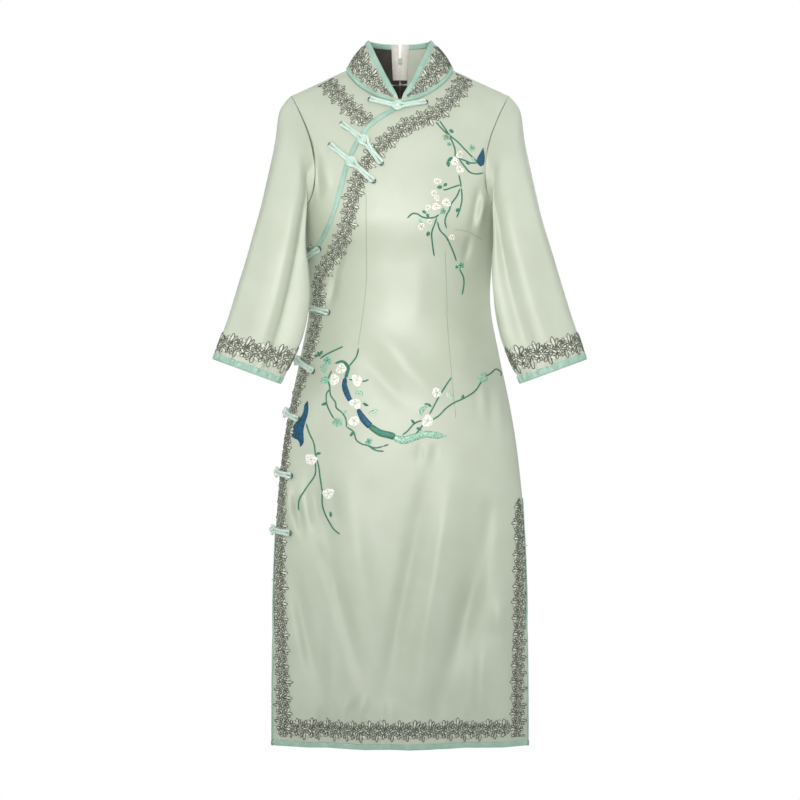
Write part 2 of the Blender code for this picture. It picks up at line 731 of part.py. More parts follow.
def length_of(points):
    return sum((q - p).length for p, q in zip(points, points[1:]))


def body_lace(name, tree, line, face=-1):
    """Lace tape along a line of (x, z) points of the front or back."""
    places = [body_point(x, z, face) for x, z in line]
    reaches = scallops(length_of(places))
    centres = evenly([tuple(p) for p in places], len(reaches) - 1)
    lines = []
    for k, (centre, (low, high)) in enumerate(zip(centres, reaches)):
        normal = body_normal(centre.x, centre.z, face)
        along = centres[min(k + 1, len(centres) - 1)] - centres[max(k - 1, 0)]
        sideways = normal.cross(along).normalized()
        lines.append([(lay(tree, centre + sideways * s, normal), normal) for s in (-low, (high - low) / 2, high)])
    return ribbon(name, clear_between(tree, lines), LACE, LACE_THREAD)


def side_lace_line(side, top_z, bottom_z, rows):
    """(x, z) of the lace beside a side seam or slit."""
    heights = [top_z + (bottom_z - top_z) * k / rows for k in range(rows + 1)]
    return [from_side(z, LACE_INSET, side, -1) for z in heights]


def ring_lace(name, wall_object, cloth, up):
    """Lace round a sleeve, its middle `up` from the cuff edge."""
    tree = tree_of([wall_object])
    ring, span = [], None
    for i in range(len(cloth.rows[0])):
        low, high = cloth.rows[0][i], cloth.rows[1][i]
        span = up / (high - low).length
        ring.append(low.lerp(high, span))
    ring.append(ring[0])
    reaches = scallops(length_of(ring))[:-1]
    centres = evenly([tuple(p) for p in ring], len(reaches))[:-1]
    middle = sum(centres, Vector()) / len(centres)
    axis = sum((b - a for a, b in zip(cloth.rows[0], cloth.rows[2])), Vector()).normalized()
    lines = []
    for k, (centre, (low, high)) in enumerate(zip(centres, reaches)):
        along = (centres[(k + 1) % len(centres)] - centres[k - 1]).normalized()
        normal = along.cross(axis).normalized()
        normal *= math.copysign(1.0, normal.dot(centre - middle))
        lines.append([(lay(tree, centre + axis * s, normal), normal) for s in (-low, (high - low) / 2, high)])
    return ribbon(name, clear_between(tree, lines, closed=True), LACE, LACE_THREAD, closed=True)


def collar_lace(name, cloth):
    """Lace over the outside of a collar half, between its binding and the neck piping."""
    order = range(len(cloth.rows[0])) if cloth.rows[-1][0].z < cloth.rows[-1][-1].z else None
    columns = list(order) if order else list(range(len(cloth.rows[0])))[::-1]
    lines = []
    for k, i in enumerate(columns):
        run = [(row[i], normals[i]) for row, normals in zip(cloth.rows, cloth.normals)]
        height = (run[-1][0] - run[0][0]).length
        low, high = (PIPING_WIDTH + LACE_CLEAR) / height, 1 - (BINDING_WIDTH + LACE_CLEAR) / height
        if k == len(columns) - 1 or high - low < COLLAR_LACE_LEAST:
            continue
        low, high = low + 0.03 * (k % 2), high - 0.03 * (k % 2)
        line = []
        for share in (low, 1 / 3, 2 / 3, high):
            place = share * (len(run) - 1)
            s = min(int(place), len(run) - 2)
            point = run[s][0].lerp(run[s + 1][0], place - s)
            normal = run[s][1].lerp(run[s + 1][1], place - s).normalized()
            line.append((point + normal * COLLAR_LACE_LIFT, normal))
        lines.append(line)
    return ribbon(name, lines, LACE, LACE_THREAD)


# ------------------------------------------------------------------ frogs
def cord(name, path, sizes, finish=FROG_SATIN):
    """A closed satin cord. path holds (point, outward direction), sizes the half width and half height."""
    bm = bmesh.new()
    rings = []
    for k, ((point, normal), (wide, high)) in enumerate(zip(path, sizes)):
        along = (path[min(k + 1, len(path) - 1)][0] - path[max(k - 1, 0)][0]).normalized()
        sideways = along.cross(normal).normalized()
        out = sideways.cross(along).normalized()
        turns = [2 * math.pi * s / CORD_SIDES for s in range(CORD_SIDES)]
        rings.append([bm.verts.new(point + sideways * wide * math.cos(a) + out * high * math.sin(a)) for a in turns])
    for low, high in zip(rings, rings[1:]):
        for s in range(CORD_SIDES):
            t = (s + 1) % CORD_SIDES
            bm.faces.new((low[s], low[t], high[t], high[s]))
    bm.faces.new(rings[0])
    bm.faces.new(rings[-1])
    return add_object(name, bm, finish)


def frog(name, tree, place):
    """A fastened frog: an arm that ends in the knot, and the other half's arm, whose loop holds it.

    place(reach) gives (x, z, face) along the frog, from -1 at the knot's arm's end to 1 at the loop's.
    """

    def on_trim(reach, lift):
        x, z, face = place(reach)
        normal = body_normal(x, z, face)
        return lay(tree, body_point(x, z, face), normal, TRIM_TOP) + normal * lift, normal

    def arm_lift(reach):
        return FROG_ARM_HIGH * FROG_END_SWELL + FROG_LIFT + FROG_KNOT_R * (1 - min(abs(reach) * 2, 1.0)) ** 2

    ends = on_trim(-0.5, 0.0)[0], on_trim(0.5, 0.0)[0]
    along = (ends[0] - ends[1]).normalized()
    middle, normal = on_trim(-KNOT_BESIDE, 0.0)
    normal = (normal - along * normal.dot(along)).normalized()
    centre = middle + normal * (FROG_KNOT_R + FROG_LIFT)

    path = [(centre - along * FROG_KNOT_R * f, normal) for f in (0.95, 0.5, -0.1, -0.7)]
    path += [on_trim(-share, arm_lift(share)) for share in (0.30, 0.52, 0.75, 0.93, 1.0)]
    sizes = [(FROG_KNOT_R * f, FROG_KNOT_R * f) for f in (0.35, 0.9, 1.0, 0.7)]
    sizes += [(FROG_ARM_WIDE, FROG_ARM_HIGH)] * 3
    sizes += [(FROG_END_R, FROG_ARM_HIGH * FROG_END_SWELL), (FROG_END_R * 0.6, FROG_ARM_HIGH)]
    cord(f"{name}_knot", path, sizes)

    path = [on_trim(share, arm_lift(share)) for share in (FROG_LOOP_START, 0.30, 0.52, 0.75, 0.93, 1.0)]
    sizes = [(FROG_ARM_WIDE * 1.2, FROG_ARM_HIGH)] + [(FROG_ARM_WIDE, FROG_ARM_HIGH)] * 3
    sizes += [(FROG_END_R, FROG_ARM_HIGH * FROG_END_SWELL), (FROG_END_R * 0.6, FROG_ARM_HIGH)]
    cord(f"{name}_loop", path, sizes)


def front_frog(spec, tree):
    turn = math.radians(spec.angle)

    def place(reach):
        return spec.x + math.cos(turn) * reach * FROG_ARM, spec.z + math.sin(turn) * reach * FROG_ARM, -1

    frog(f"frog_{spec.name}", tree, place)


def side_frog(spec, tree):
    def place(reach):
        face = -1 if reach > 0 else 1
        return *from_side(spec.z + spec.rise * reach, FROG_ARM * abs(reach), -1, face), face

    frog(f"frog_{spec.name}", tree, place)


# ------------------------------------------------------------------ zip
def zip_tape(name, back, collar, where):
    """One tape behind the centre back edge, from the end of the zip to the top of the collar."""
    depth = -(CLOTH + LIFT)
    lines = edge_lines(back, where, ZIP_TAPE_WIDTH, depth)[ZIP_FIRST_ROW : SKIRT_ROWS + LAPEL_ROWS]
    lines += edge_lines(collar, where, ZIP_TAPE_WIDTH, depth)
    return ribbon(name, lines, -TAPE, ZIP_TAPE)


class ZipFrame:
    """Directions at the slider: across the zip, out of the collar, and up its slope."""

    def __init__(self, collar, where):
        places, _ = collar.edge(where)
        low, high = collar.rows[places[0][0]][places[0][1]], collar.rows[places[-1][0]][places[-1][1]]
        points = [collar.rows[j][i] for j, i in places]
        middle = evenly([tuple(p) for p in points], 20)[round(SLIDER_AT * 20)]
        self.up = Vector((0.0, high.y - low.y, high.z - low.z)).normalized()
        self.out = Vector((-1.0, 0.0, 0.0)).cross(self.up).normalized()
        self.origin = Vector((0.0, middle.y, middle.z))

    def at(self, across, out, up):
        return self.origin + Vector((1, 0, 0)) * across + self.out * out + self.up * up


def extruded(bm, outline, along):
    """A closed solid from a flat outline, pushed along a vector."""
    face = bm.faces.new([bm.verts.new(p) for p in outline])
    made = bmesh.ops.extrude_face_region(bm, geom=[face])["geom"]
    bmesh.ops.translate(bm, vec=along, verts=[v for v in made if isinstance(v, bmesh.types.BMVert)])


def slider(frame):
    """Slider body: an inner and an outer plate joined by a web, with an arched bridge on the outer plate."""
    inner, outer = -(CLOTH + 2 * LIFT + TAPE), LIFT
    plate = 0.0012
    half, web, length = SLIDER_WIDE / 2, SLIDER_WEB / 2, SLIDER_LENGTH
    section = [
        (-half, inner - plate), (half, inner - plate), (half, inner), (web, inner), (web, outer), (half, outer),
        (half, outer + plate), (-half, outer + plate), (-half, outer), (-web, outer), (-web, inner), (-half, inner),
    ]
    bm = bmesh.new()
    extruded(bm, [frame.at(x, y, -length / 2) for x, y in section], frame.up * length)
    made = add_object("zip_slider", bm, ZIP_METAL)

    foot, top = outer + plate, outer + plate + BRIDGE_RISE
    end, bar, sink = length / 2 - 0.0005, BRIDGE_BAR, plate / 2
    arch = [
        (foot - sink, -end), (top + bar, -end), (top + bar, end), (foot - sink, end),
        (foot - sink, end - bar), (top, end - bar), (top, -end + bar), (foot - sink, -end + bar),
    ]
    bm = bmesh.new()
    extruded(bm, [frame.at(-bar, y, z) for y, z in arch], Vector((2 * bar, 0, 0)))
    bridge = add_object("zip_bridge_shape", bm, ZIP_METAL)
    bridge.hide_render = True
    bridge.display_type = "WIRE"
    union = made.modifiers.new("bridge", "BOOLEAN")
    union.operation = "UNION"
    union.object = bridge
    return foot + BRIDGE_RISE / 2


def pull_tab(frame, pivot_out):
    """Pull tab hanging from the bridge. Its origin is on the hinge axis, in the middle of its top bar."""
    pivot = frame.at(0.0, pivot_out, 0.0)
    half, bar = PULL_WIDE / 2, PULL_THICK
    hole = half - bar
    top, low = bar / 2, bar / 2 - PULL_LONG
    bm = bmesh.new()
    outline = [(-half, top), (half, top), (half, low), (-half, low)]
    window = [(-hole, -bar / 2), (hole, -bar / 2), (hole, -bar / 2 - PULL_HOLE), (-hole, -bar / 2 - PULL_HOLE)]
    rings = []
    for points in (outline, window):
        for out in (-PULL_THICK / 2, PULL_THICK / 2):
            rings.append([bm.verts.new((x, out, z)) for x, z in points])
    for s in range(4):
        t = (s + 1) % 4
        for a, b in ((0, 1), (1, 3), (3, 2), (2, 0)):
            bm.faces.new((rings[a][s], rings[a][t], rings[b][t], rings[b][s]))
    made = add_object("zip_pull_tab", bm, ZIP_METAL)
    made.location = pivot
    return made


# ------------------------------------------------------------------ building
def build_cloth():
    """Every cut piece with its seams matched and drawn apart."""
    front, chest = Cloth("main_front", "body", main_front_rows()), Cloth("chest_panel", "body", chest_rows())
    back = {side: Cloth(f"back_{NAMES[side]}", "body", back_rows(side)) for side in SIDES}
    body = [front, chest, back[1], back[-1]]

    neck_rows, arm_rows = slice(-NECK_ROWS - 1, None), slice(-ARMHOLE_ROWS - 1, None)
    inner = {1: (front.column(0), back[1].column(-1)), -1: (chest.column(-1), back[-1].column(0))}
    outer = {1: (front.column(-1), back[1].column(0)), -1: (chest.column(0), back[-1].column(-1))}
    necks = {side: inner[side][0][neck_rows] + inner[side][1][neck_rows][-2::-1] for side in SIDES}
    armholes = {side: (outer[side][0][arm_rows], outer[side][1][arm_rows]) for side in SIDES}
    sleeves = {
        side: Cloth(f"sleeve_{NAMES[side]}", "sleeve", sleeve_rows(side, *armholes[side]), closed=True)
        for side in SIDES
    }
    collars = {side: Cloth(f"collar_{NAMES[side]}", "collar", collar_rows(necks[side], side)) for side in SIDES}

    for cloth in body:
        square_shoulder(cloth)
    share_normals(body + list(sleeves.values()) + list(collars.values()))
    lapel_foot = front.normals[SKIRT_ROWS][0]
    chest.normals[0] = [lapel_foot.lerp(normal, CHEST_TIP).normalized() for normal in chest.normals[1]]
    for cloth in body:
        for where in ("top", "left", "right"):
            cloth.inset(where)
    chest.inset("right", LAPEL_FOOT_GAP, LAPEL_FOOT_ROWS)
    for side in SIDES:
        sleeves[side].inset("top")
        for where in ("bottom", "left", "right"):
            collars[side].inset(where)
    return front, chest, back, sleeves, collars


def build_trim(tree, front, back, collars):
    """Bindings, piping and lace on the body and collar."""
    for side in SIDES:
        name = NAMES[side]
        binding(f"collar_binding_{name}", collars[side], "top", BINDING_WIDTH, most=BAND_MOST)
        piping(f"neck_piping_{name}", collars[side], "bottom", most=BAND_MOST)
        binding(f"hem_binding_back_{name}", back[side], "bottom", BINDING_WIDTH)
        collar_lace(f"collar_lace_{name}", collars[side])
        body_lace(f"back_neck_lace_{name}", tree, [(side * x, z) for x, z in LACE_BACK][::-side], 1)
        slit = slice(1, SLIT_ROWS[side] + 1)
        outer, inner = ("right", "left") if side > 0 else ("left", "right")
        binding(f"slit_binding_front_{name}", front, outer, SLIT_BINDING_WIDTH, rows=slit)
        binding(f"slit_binding_back_{name}", back[side], inner, SLIT_BINDING_WIDTH, rows=slit)
    binding("hem_binding_front", front, "bottom", BINDING_WIDTH)
    piping("lapel_piping", front, "left", rows=slice(SKIRT_ROWS, SKIRT_ROWS + LAPEL_ROWS + 1))

    hem_z = HEM_Z + LACE_INSET
    body_lace("main_lace", tree, LACE_FRONT + side_lace_line(-1, LACE_SIDE_START_Z, hem_z, 16))
    half = from_side(hem_z, LACE_INSET, 1, -1)[0] - LACE_WIDTH
    body_lace("hem_lace", tree, [(half * (k / 4 - 1), hem_z) for k in range(9)])
    slit_top = skirt_levels()[SLIT_ROWS[1]]
    body_lace("slit_lace_left", tree, side_lace_line(1, hem_z, slit_top, 8))
    body_lace("chest_lace", tree, LACE_CHEST)


def build():
    for old in list(bpy.data.objects):
        bpy.data.objects.remove(old)
    bpy.context.scene.collection.objects.link(bpy.data.objects.new("dress", None))

    front, chest, back, sleeves, collars = build_cloth()
    tree = tree_of([cloth.wall() for cloth in (front, chest, back[1], back[-1])])
    for side in SIDES:
        collars[side].wall()
        wall = sleeves[side].wall()
        binding(f"cuff_binding_{NAMES[side]}", sleeves[side], "bottom", CUFF_BINDING_WIDTH)
        ring_lace(f"cuff_lace_{NAMES[side]}", wall, sleeves[side], CUFF_LACE_UP)
    build_trim(tree, front, back, collars)

    for spec in FRONT_FROGS:
        front_frog(spec, tree)
    for spec in SIDE_FROGS:
        side_frog(spec, tree)

    zip_tape("zip_tape_left", back[1], collars[1], "right")
    zip_tape("zip_tape_right", back[-1], collars[-1], "left")
    frame = ZipFrame(collars[1], "right")
    pull_tab(frame, slider(frame))


if __name__ == "__main__":
    build()
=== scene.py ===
"""Looks of the cheongsam dress: satin, bias bindings, corded lace, frogs, embroidery and the back zip.

Metres, +Z up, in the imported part's own frame. The front faces -Y and +X is the wearer's left.
Trim is drawn flat first, as (along, across, height), and is then laid on the cloth.
"""

import math
from collections import namedtuple

import bmesh
import bpy
from mathutils import Matrix, Vector, noise
from mathutils.bvhtree import BVHTree


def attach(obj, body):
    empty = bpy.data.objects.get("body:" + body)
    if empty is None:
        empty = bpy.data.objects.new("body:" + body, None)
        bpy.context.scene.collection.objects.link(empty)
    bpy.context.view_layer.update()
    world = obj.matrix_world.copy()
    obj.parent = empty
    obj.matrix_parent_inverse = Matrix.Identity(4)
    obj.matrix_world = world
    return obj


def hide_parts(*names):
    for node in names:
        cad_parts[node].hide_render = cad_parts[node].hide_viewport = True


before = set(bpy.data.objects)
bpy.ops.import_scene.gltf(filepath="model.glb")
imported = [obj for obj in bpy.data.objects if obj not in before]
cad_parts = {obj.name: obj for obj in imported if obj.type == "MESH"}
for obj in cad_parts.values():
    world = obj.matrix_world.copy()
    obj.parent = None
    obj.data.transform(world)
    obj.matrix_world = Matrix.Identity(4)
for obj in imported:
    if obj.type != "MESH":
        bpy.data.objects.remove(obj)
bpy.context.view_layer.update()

# ------------------------------------------------------------------ driving sizes
MM = 0.001
UP = Vector((0, 0, 1))
SATIN_THICK = 0.8 * MM
BINDING_WIDTH = 9.0 * MM
CUFF_BINDING_WIDTH = 12.0 * MM
PIPING_WIDTH = 7.5 * MM
SLIT_BINDING_WIDTH = 6.0 * MM
LACE_WIDTH = 34.0 * MM
LACE_REPEAT = 26.6 * MM
LACE_INSET = 22.0 * MM
HEM_LACE_UP = 31.0 * MM
CUFF_LACE_UP = 42.0 * MM
CUFF_LACE_WIDTH = 40.0 * MM
FROG_ARM = 46.0 * MM
FROG_CORD_R = 2.6 * MM
FROG_KNOT_R = 4.8 * MM
FROG_LIFT = 1.6 * MM
ZIP_TAPE_WIDTH = 12.0 * MM
ZIP_TOOTH = 1.5 * MM
SEAM_ROLL = 0.9 * MM  # how far a cut edge turns in at its seam
# The painted shade inside the back neck, a dark colour standing in for the shadow there: how low it reaches,
# how far out, and how high over the zip tapes
NECK_SHADE_Z, NECK_SHADE_HALF, NECK_SHADE_TOP_Z = -0.085, 0.110, -0.014

HEM_Z, LAPEL_END_Z, UNDERARM_Z = -1.141, -0.306, -0.238
NECK_HALF, NECK_FRONT_Z, NECK_BACK_Z = 0.090, -0.063, -0.022
NECK_FRONT_POWER, NECK_BACK_POWER = 1.55, 2.6
SHOULDER_X, SHOULDER_Y, SHOULDER_Z, SHOULDER_ROUND = 0.184, 0.005, -0.043, 0.6
SLIT_TOP = {-1: -0.7831, 1: -0.7235}  # wearer's right, wearer's left
SLIT_SPREAD, SLIT_OPENS_OVER = 0.004, 7  # how far a slit's edges stand off at the hem, over how many columns
UNEVEN = 1.4 * MM  # how far the cloth wavers everywhere
PUCKER = 5.0 * MM  # and how far it puckers at the hem, where the lace and the binding are sewn on
PUCKERED_TO = 0.075  # above the hem
CUFF_PUCKER = 3.5 * MM
CUFF_PUCKERED_FROM = 0.84  # of the sleeve's length
# Wavers to a metre, of the unevenness and of the puckers
UNEVEN_ACROSS, UNEVEN_DOWN = 26, 15
PUCKER_ACROSS, PUCKER_SLANT, PUCKER_DOWN = 62, 24, 20
# Folds and creases are this much deeper than their tables say, to catch the light as silk does
FOLD_GAIN, CREASE_GAIN = 2.0, 2.3
FADE = 2.2  # a fold fades in, and out, over its length divided by this
BACK_EDGE_MOST = 0.80  # the sharpest that the back's edge gets, on the scale of Section.edge
SLEEVE_PULL_TURN = 0.45  # where on the sleeve's front Station.pull starts, in radians
COLLAR_BOW, COLLAR_FULL = 0.004, 0.040  # how far the collar bulges, in full where it is this high

# Cells along each edge of the cut pieces
FINE = 7
SIDE_ROWS, ARMHOLE_ROWS, NECK_ROWS, LAPEL_ROWS = 2 * FINE, 12 * FINE, 6 * FINE, 8 * FINE
SKIRT_ROWS = 14 * 12
FRONT_COLUMNS, BACK_COLUMNS, CHEST_COLUMNS = 112, 60, 42
SLEEVE_ROWS, COLLAR_ROWS = 96, 18
ZIP_END_Z = -0.425


def table(kind, *rows):
    return [kind(*row) for row in rows]


def folds(face, *rows):
    """Folds of the front (-1) or the back (1), from rows in millimetres."""
    return [Fold(*(value * MM for value in row), face) for row in rows]


Section = namedtuple("Section", "z half_width front back edge")
# An edge of 0.5 gives an elliptical side, and 1 a flat one that ends in a sharp edge
BODY = table(
    Section,
    (-1.160, 0.2160, 0.062, 0.052, 0.92),
    (-1.000, 0.2155, 0.070, 0.060, 0.82),
    (-0.860, 0.2135, 0.081, 0.072, 0.64),
    (-0.715, 0.2060, 0.092, 0.086, 0.54),
    (-0.632, 0.1965, 0.096, 0.094, 0.51),
    (-0.560, 0.1840, 0.094, 0.093, 0.58),
    (-0.480, 0.1670, 0.086, 0.082, 0.86),
    (-0.400, 0.1530, 0.082, 0.074, 1.04),
    (-0.330, 0.1550, 0.094, 0.076, 0.88),
    (-0.275, 0.1640, 0.110, 0.084, 0.66),
    (-0.238, 0.1730, 0.113, 0.090, 0.57),
    (-0.150, 0.1900, 0.108, 0.092, 0.54),
    (0.020, 0.2050, 0.105, 0.092, 0.52),
)

Fold = namedtuple("Fold", "top_x top_z low_x low_z width depth face")
# The broad folds: ridges have a depth above 0 and valleys one below
FOLDS = folds(
    -1,
    (-105, -640, -55, -1180, 27, 5.5), (105, -620, 15, -1180, 31, 6.5), (165, -760, 176, -1180, 22, 4),
    (122, -700, 108, -1180, 28, -5), (-142, -800, -122, -1180, 20, -4.5), (-140, -620, -128, -840, 26, -6),
    (78, -215, 78, -320, 50, 3.2), (-78, -215, -78, -320, 50, 3.2),
) + folds(
    1,
    (70, -700, 85, -1180, 42, 6), (-60, -680, -100, -1180, 36, -5.5), (150, -860, 160, -1180, 28, -4.5),
)
# The small creases, which fade out at both ends
CREASES = folds(
    -1,
    (-187, -690, -186, -773, 6, 3.5), (-177, -700, -161, -800, 7, -5.5), (-150, -670, -132, -800, 12, -4),
    (-124, -674, -99, -790, 10, -3), (-143, -745, -112, -850, 10, 4), (-182, -823, -138, -1055, 12, -6),
    (-95, -640, -20, -1080, 18, 3), (52, -640, -30, -1080, 14, -6), (90, -640, 16, -1100, 12, 3),
    (150, -760, 56, -1110, 18, -8), (140, -940, 130, -1125, 14, 4.5), (-150, -700, -48, -1090, 13, -6),
    (-118, -930, -114, -1110, 10, 4.5), (169, -880, 165, -960, 12, 3), (152, -700, 141, -830, 12, -3.5),
    (126, -520, 128, -600, 5, -0.9), (138, -515, 142, -610, 5, 0.9), (151, -520, 154, -620, 5, -0.9),
    (167, -530, 170, -640, 6, 1), (34, -624, 30, -668, 4, -1.4), (46, -624, 44, -672, 4, 1.4),
    (58, -624, 58, -668, 4, -1.4), (-52, -420, 66, -570, 26, 4), (-70, -470, 20, -590, 20, -2.5),
    (-92, -290, -108, -350, 8, -3.5), (-104, -330, -120, -410, 7, -3.5), (134, -190, 117, -285, 6, -3.5),
    (146, -200, 128, -290, 6, 3), (118, -275, 106, -335, 6, -2.8), (-140, -120, -132, -240, 6, -4),
    (150, -90, 146, -262, 7, -3), (-150, -90, -146, -262, 7, -2.6), (-126, -130, -118, -230, 7, 2.5),
    (30, -300, 36, -450, 20, 2.2), (-96, -1040, -98, -1120, 8, 3.5), (-56, -1045, -76, -1105, 6, 4),
    (-66, -1040, -86, -1100, 6, -3.5), (-17, -1045, -16, -1120, 8, 3), (60, -1030, 66, -1120, 10, -3),
    (110, -1050, 104, -1125, 7, 2.6), (-130, -1060, -128, -1125, 7, -2.6),
) + folds(
    1,
    (-70, -300, -20, -420, 12, -2.5), (80, -330, 20, -430, 13, 2.5), (130, -560, 40, -640, 16, -3),
    (-120, -600, -50, -660, 14, 2.8), (-150, -760, -130, -980, 13, -4.5), (20, -820, 10, -1090, 16, 4.5),
    (120, -720, 90, -1000, 15, -4), (120, -140, 90, -260, 10, -3.5), (-115, -150, -86, -250, 10, -3.5),
    (-85, -620, -60, -780, 12, 3.5),
)

# Armhole seam on the +X side, from the underarm up to the shoulder point, as (x, z)
ARMHOLE_FRONT = [(0.1730, -0.238), (0.1500, -0.222), (0.1420, -0.180), (0.1480, -0.130), (0.1640, -0.085)]
ARMHOLE_BACK = [(0.1730, -0.238), (0.1610, -0.220), (0.1550, -0.178), (0.1580, -0.130), (0.1690, -0.085)]
# Lapel edge, from the side seam up to the centre front of the neck, as (x, z)
LAPEL = [(-0.1400, -0.296), (-0.1160, -0.252), (-0.1010, -0.200), (-0.0860, -0.150), (-0.0530, -0.098)]

Station = namedtuple("Station", "outer_x outer_z inner_x inner_z middle_y half_depth armhole_share pull")
# Rings of the sleeve on the +X side, from the armhole down to the cuff. armhole_share is how much of the
# armhole's own outline a ring keeps, and pull how far its front is drawn in towards the body
SLEEVE = table(
    Station,
    (0.184, -0.043, 0.173, -0.238, 0.000, 0.058, 1.00, 0.000),
    (0.203, -0.070, 0.181, -0.250, -0.008, 0.062, 0.72, 0.008),
    (0.210, -0.122, 0.181, -0.270, -0.022, 0.062, 0.42, 0.020),
    (0.222, -0.184, 0.174, -0.302, -0.038, 0.060, 0.16, 0.022),
    (0.237, -0.250, 0.162, -0.343, -0.050, 0.055, 0.04, 0.015),
    (0.256, -0.318, 0.158, -0.392, -0.060, 0.049, 0.00, 0.007),
    (0.278, -0.392, 0.167, -0.450, -0.067, 0.042, 0.00, 0.002),
    (0.296, -0.448, 0.184, -0.494, -0.071, 0.036, 0.00, 0.000),
    (0.310, -0.490, 0.201, -0.530, -0.073, 0.031, 0.00, 0.000),
)
SleeveCrease = namedtuple("SleeveCrease", "side turn_top top turn_low low outer inner depth")
# Creases down a sleeve. Turn is in degrees from its outer edge round by the front. top and low are shares of
# its length, and outer and inner are how many degrees it reaches towards each of these edges
SLEEVE_CREASES = table(
    SleeveCrease,
    (-1, 104, -0.12, 124, 0.96, 10, 24, -0.019), (-1, 82, 0.05, 98, 0.92, 16, 8, 0.005),
    (-1, 160, 0.1, 166, 0.98, 18, 24, 0.0085), (-1, 60, 0.3, 82, 0.9, 12, 16, 0.002),
    (-1, 40, 0.45, 56, 0.95, 14, 14, -0.002), (-1, 150, -0.15, 156, 0.3, 7, 12, -0.003),
    (1, 106, 0, 120, 0.94, 18, 14, -0.013), (1, 140, 0.05, 148, 0.97, 13, 10, 0.007),
    (1, 96, 0.1, 84, 0.9, 12, 16, 0.0022), (1, 50, 0.3, 62, 0.92, 14, 14, -0.0025),
    (-1, -60, 0.2, -85, 0.85, 12, 12, -0.006), (1, -66, 0.25, -90, 0.9, 12, 12, -0.0058),
    (1, -125, 0.05, -135, 0.5, 13, 13, 0.004), (-1, -120, 0.05, -130, 0.55, 12, 12, 0.004),
)

CollarSection = namedtuple("CollarSection", "share top_x top_y top_z")
# Upper edge of the stand collar on the +X side, by share of the neck seam from centre front to centre back
COLLAR = table(
    CollarSection,
    (0.00, 0.0060, -0.0700, -0.0470),
    (0.12, 0.0175, -0.0655, -0.0270),
    (0.27, 0.0345, -0.0520, 0.0070),
    (0.42, 0.0480, -0.0280, 0.0370),
    (0.54, 0.0525, -0.0020, 0.0490),
    (0.70, 0.0460, 0.0260, 0.0490),
    (0.86, 0.0250, 0.0440, 0.0480),
    (1.00, 0.0034, 0.0490, 0.0475),
)

# Middle of the lace round the neck and along the lapel, from the shoulder seam to the side, as (x, z)
LACE_FRONT = [
    (0.1090, -0.0150), (0.0990, -0.0370), (0.0740, -0.0680), (0.0540, -0.0840), (0.0170, -0.1000),
    (-0.0170, -0.1240), (-0.0400, -0.1440), (-0.0590, -0.1690), (-0.0745, -0.2100), (-0.0850, -0.2560),
    (-0.0960, -0.2900), (-0.1200, -0.3270),
]
LACE_SIDE_START_Z = -0.362
LACE_CHEST = [(-0.124, -0.022), (-0.108, -0.042), (-0.083, -0.07), (-0.066, -0.087), (-0.048, -0.0985)]
LACE_BACK = [(0.1110, -0.0150), (0.0960, -0.0370), (0.0560, -0.0500), (0.0060, -0.0540)]

FrontFrog = namedtuple("FrontFrog", "name x z knot_side loop_side")
# Each arm of a front frog points its own way, in degrees from +X
FRONT_FROGS = table(
    FrontFrog,
    ("neck", -0.004, -0.070, 164.0, 10.0),
    ("chest_upper", -0.0590, -0.128, 141.0, -54.0),
    ("chest_lower", -0.0790, -0.164, 140.0, -42.0),
)
SideFrog = namedtuple("SideFrog", "name z rise")
SIDE_FROGS = table(
    SideFrog,
    ("underarm", -0.318, 0.014),
    ("waist_upper", -0.402, -0.009),
    ("waist_lower", -0.492, -0.018),
    ("hip_upper", -0.580, -0.010),
    ("hip_lower", -0.680, -0.005),
    ("slit_top", -0.777, -0.004),
)

# Darts of the front, as (x, z)
DARTS = [
    [(-0.056, -0.219), (-0.056, -0.285), (-0.056, -0.359), (-0.063, -0.422), (-0.070, -0.467)],
    [(0.075, -0.310), (0.078, -0.376), (0.079, -0.426), (0.086, -0.517), (0.093, -0.588)],
    [(0.089, -0.275), (0.113, -0.278), (0.139, -0.290)],
]

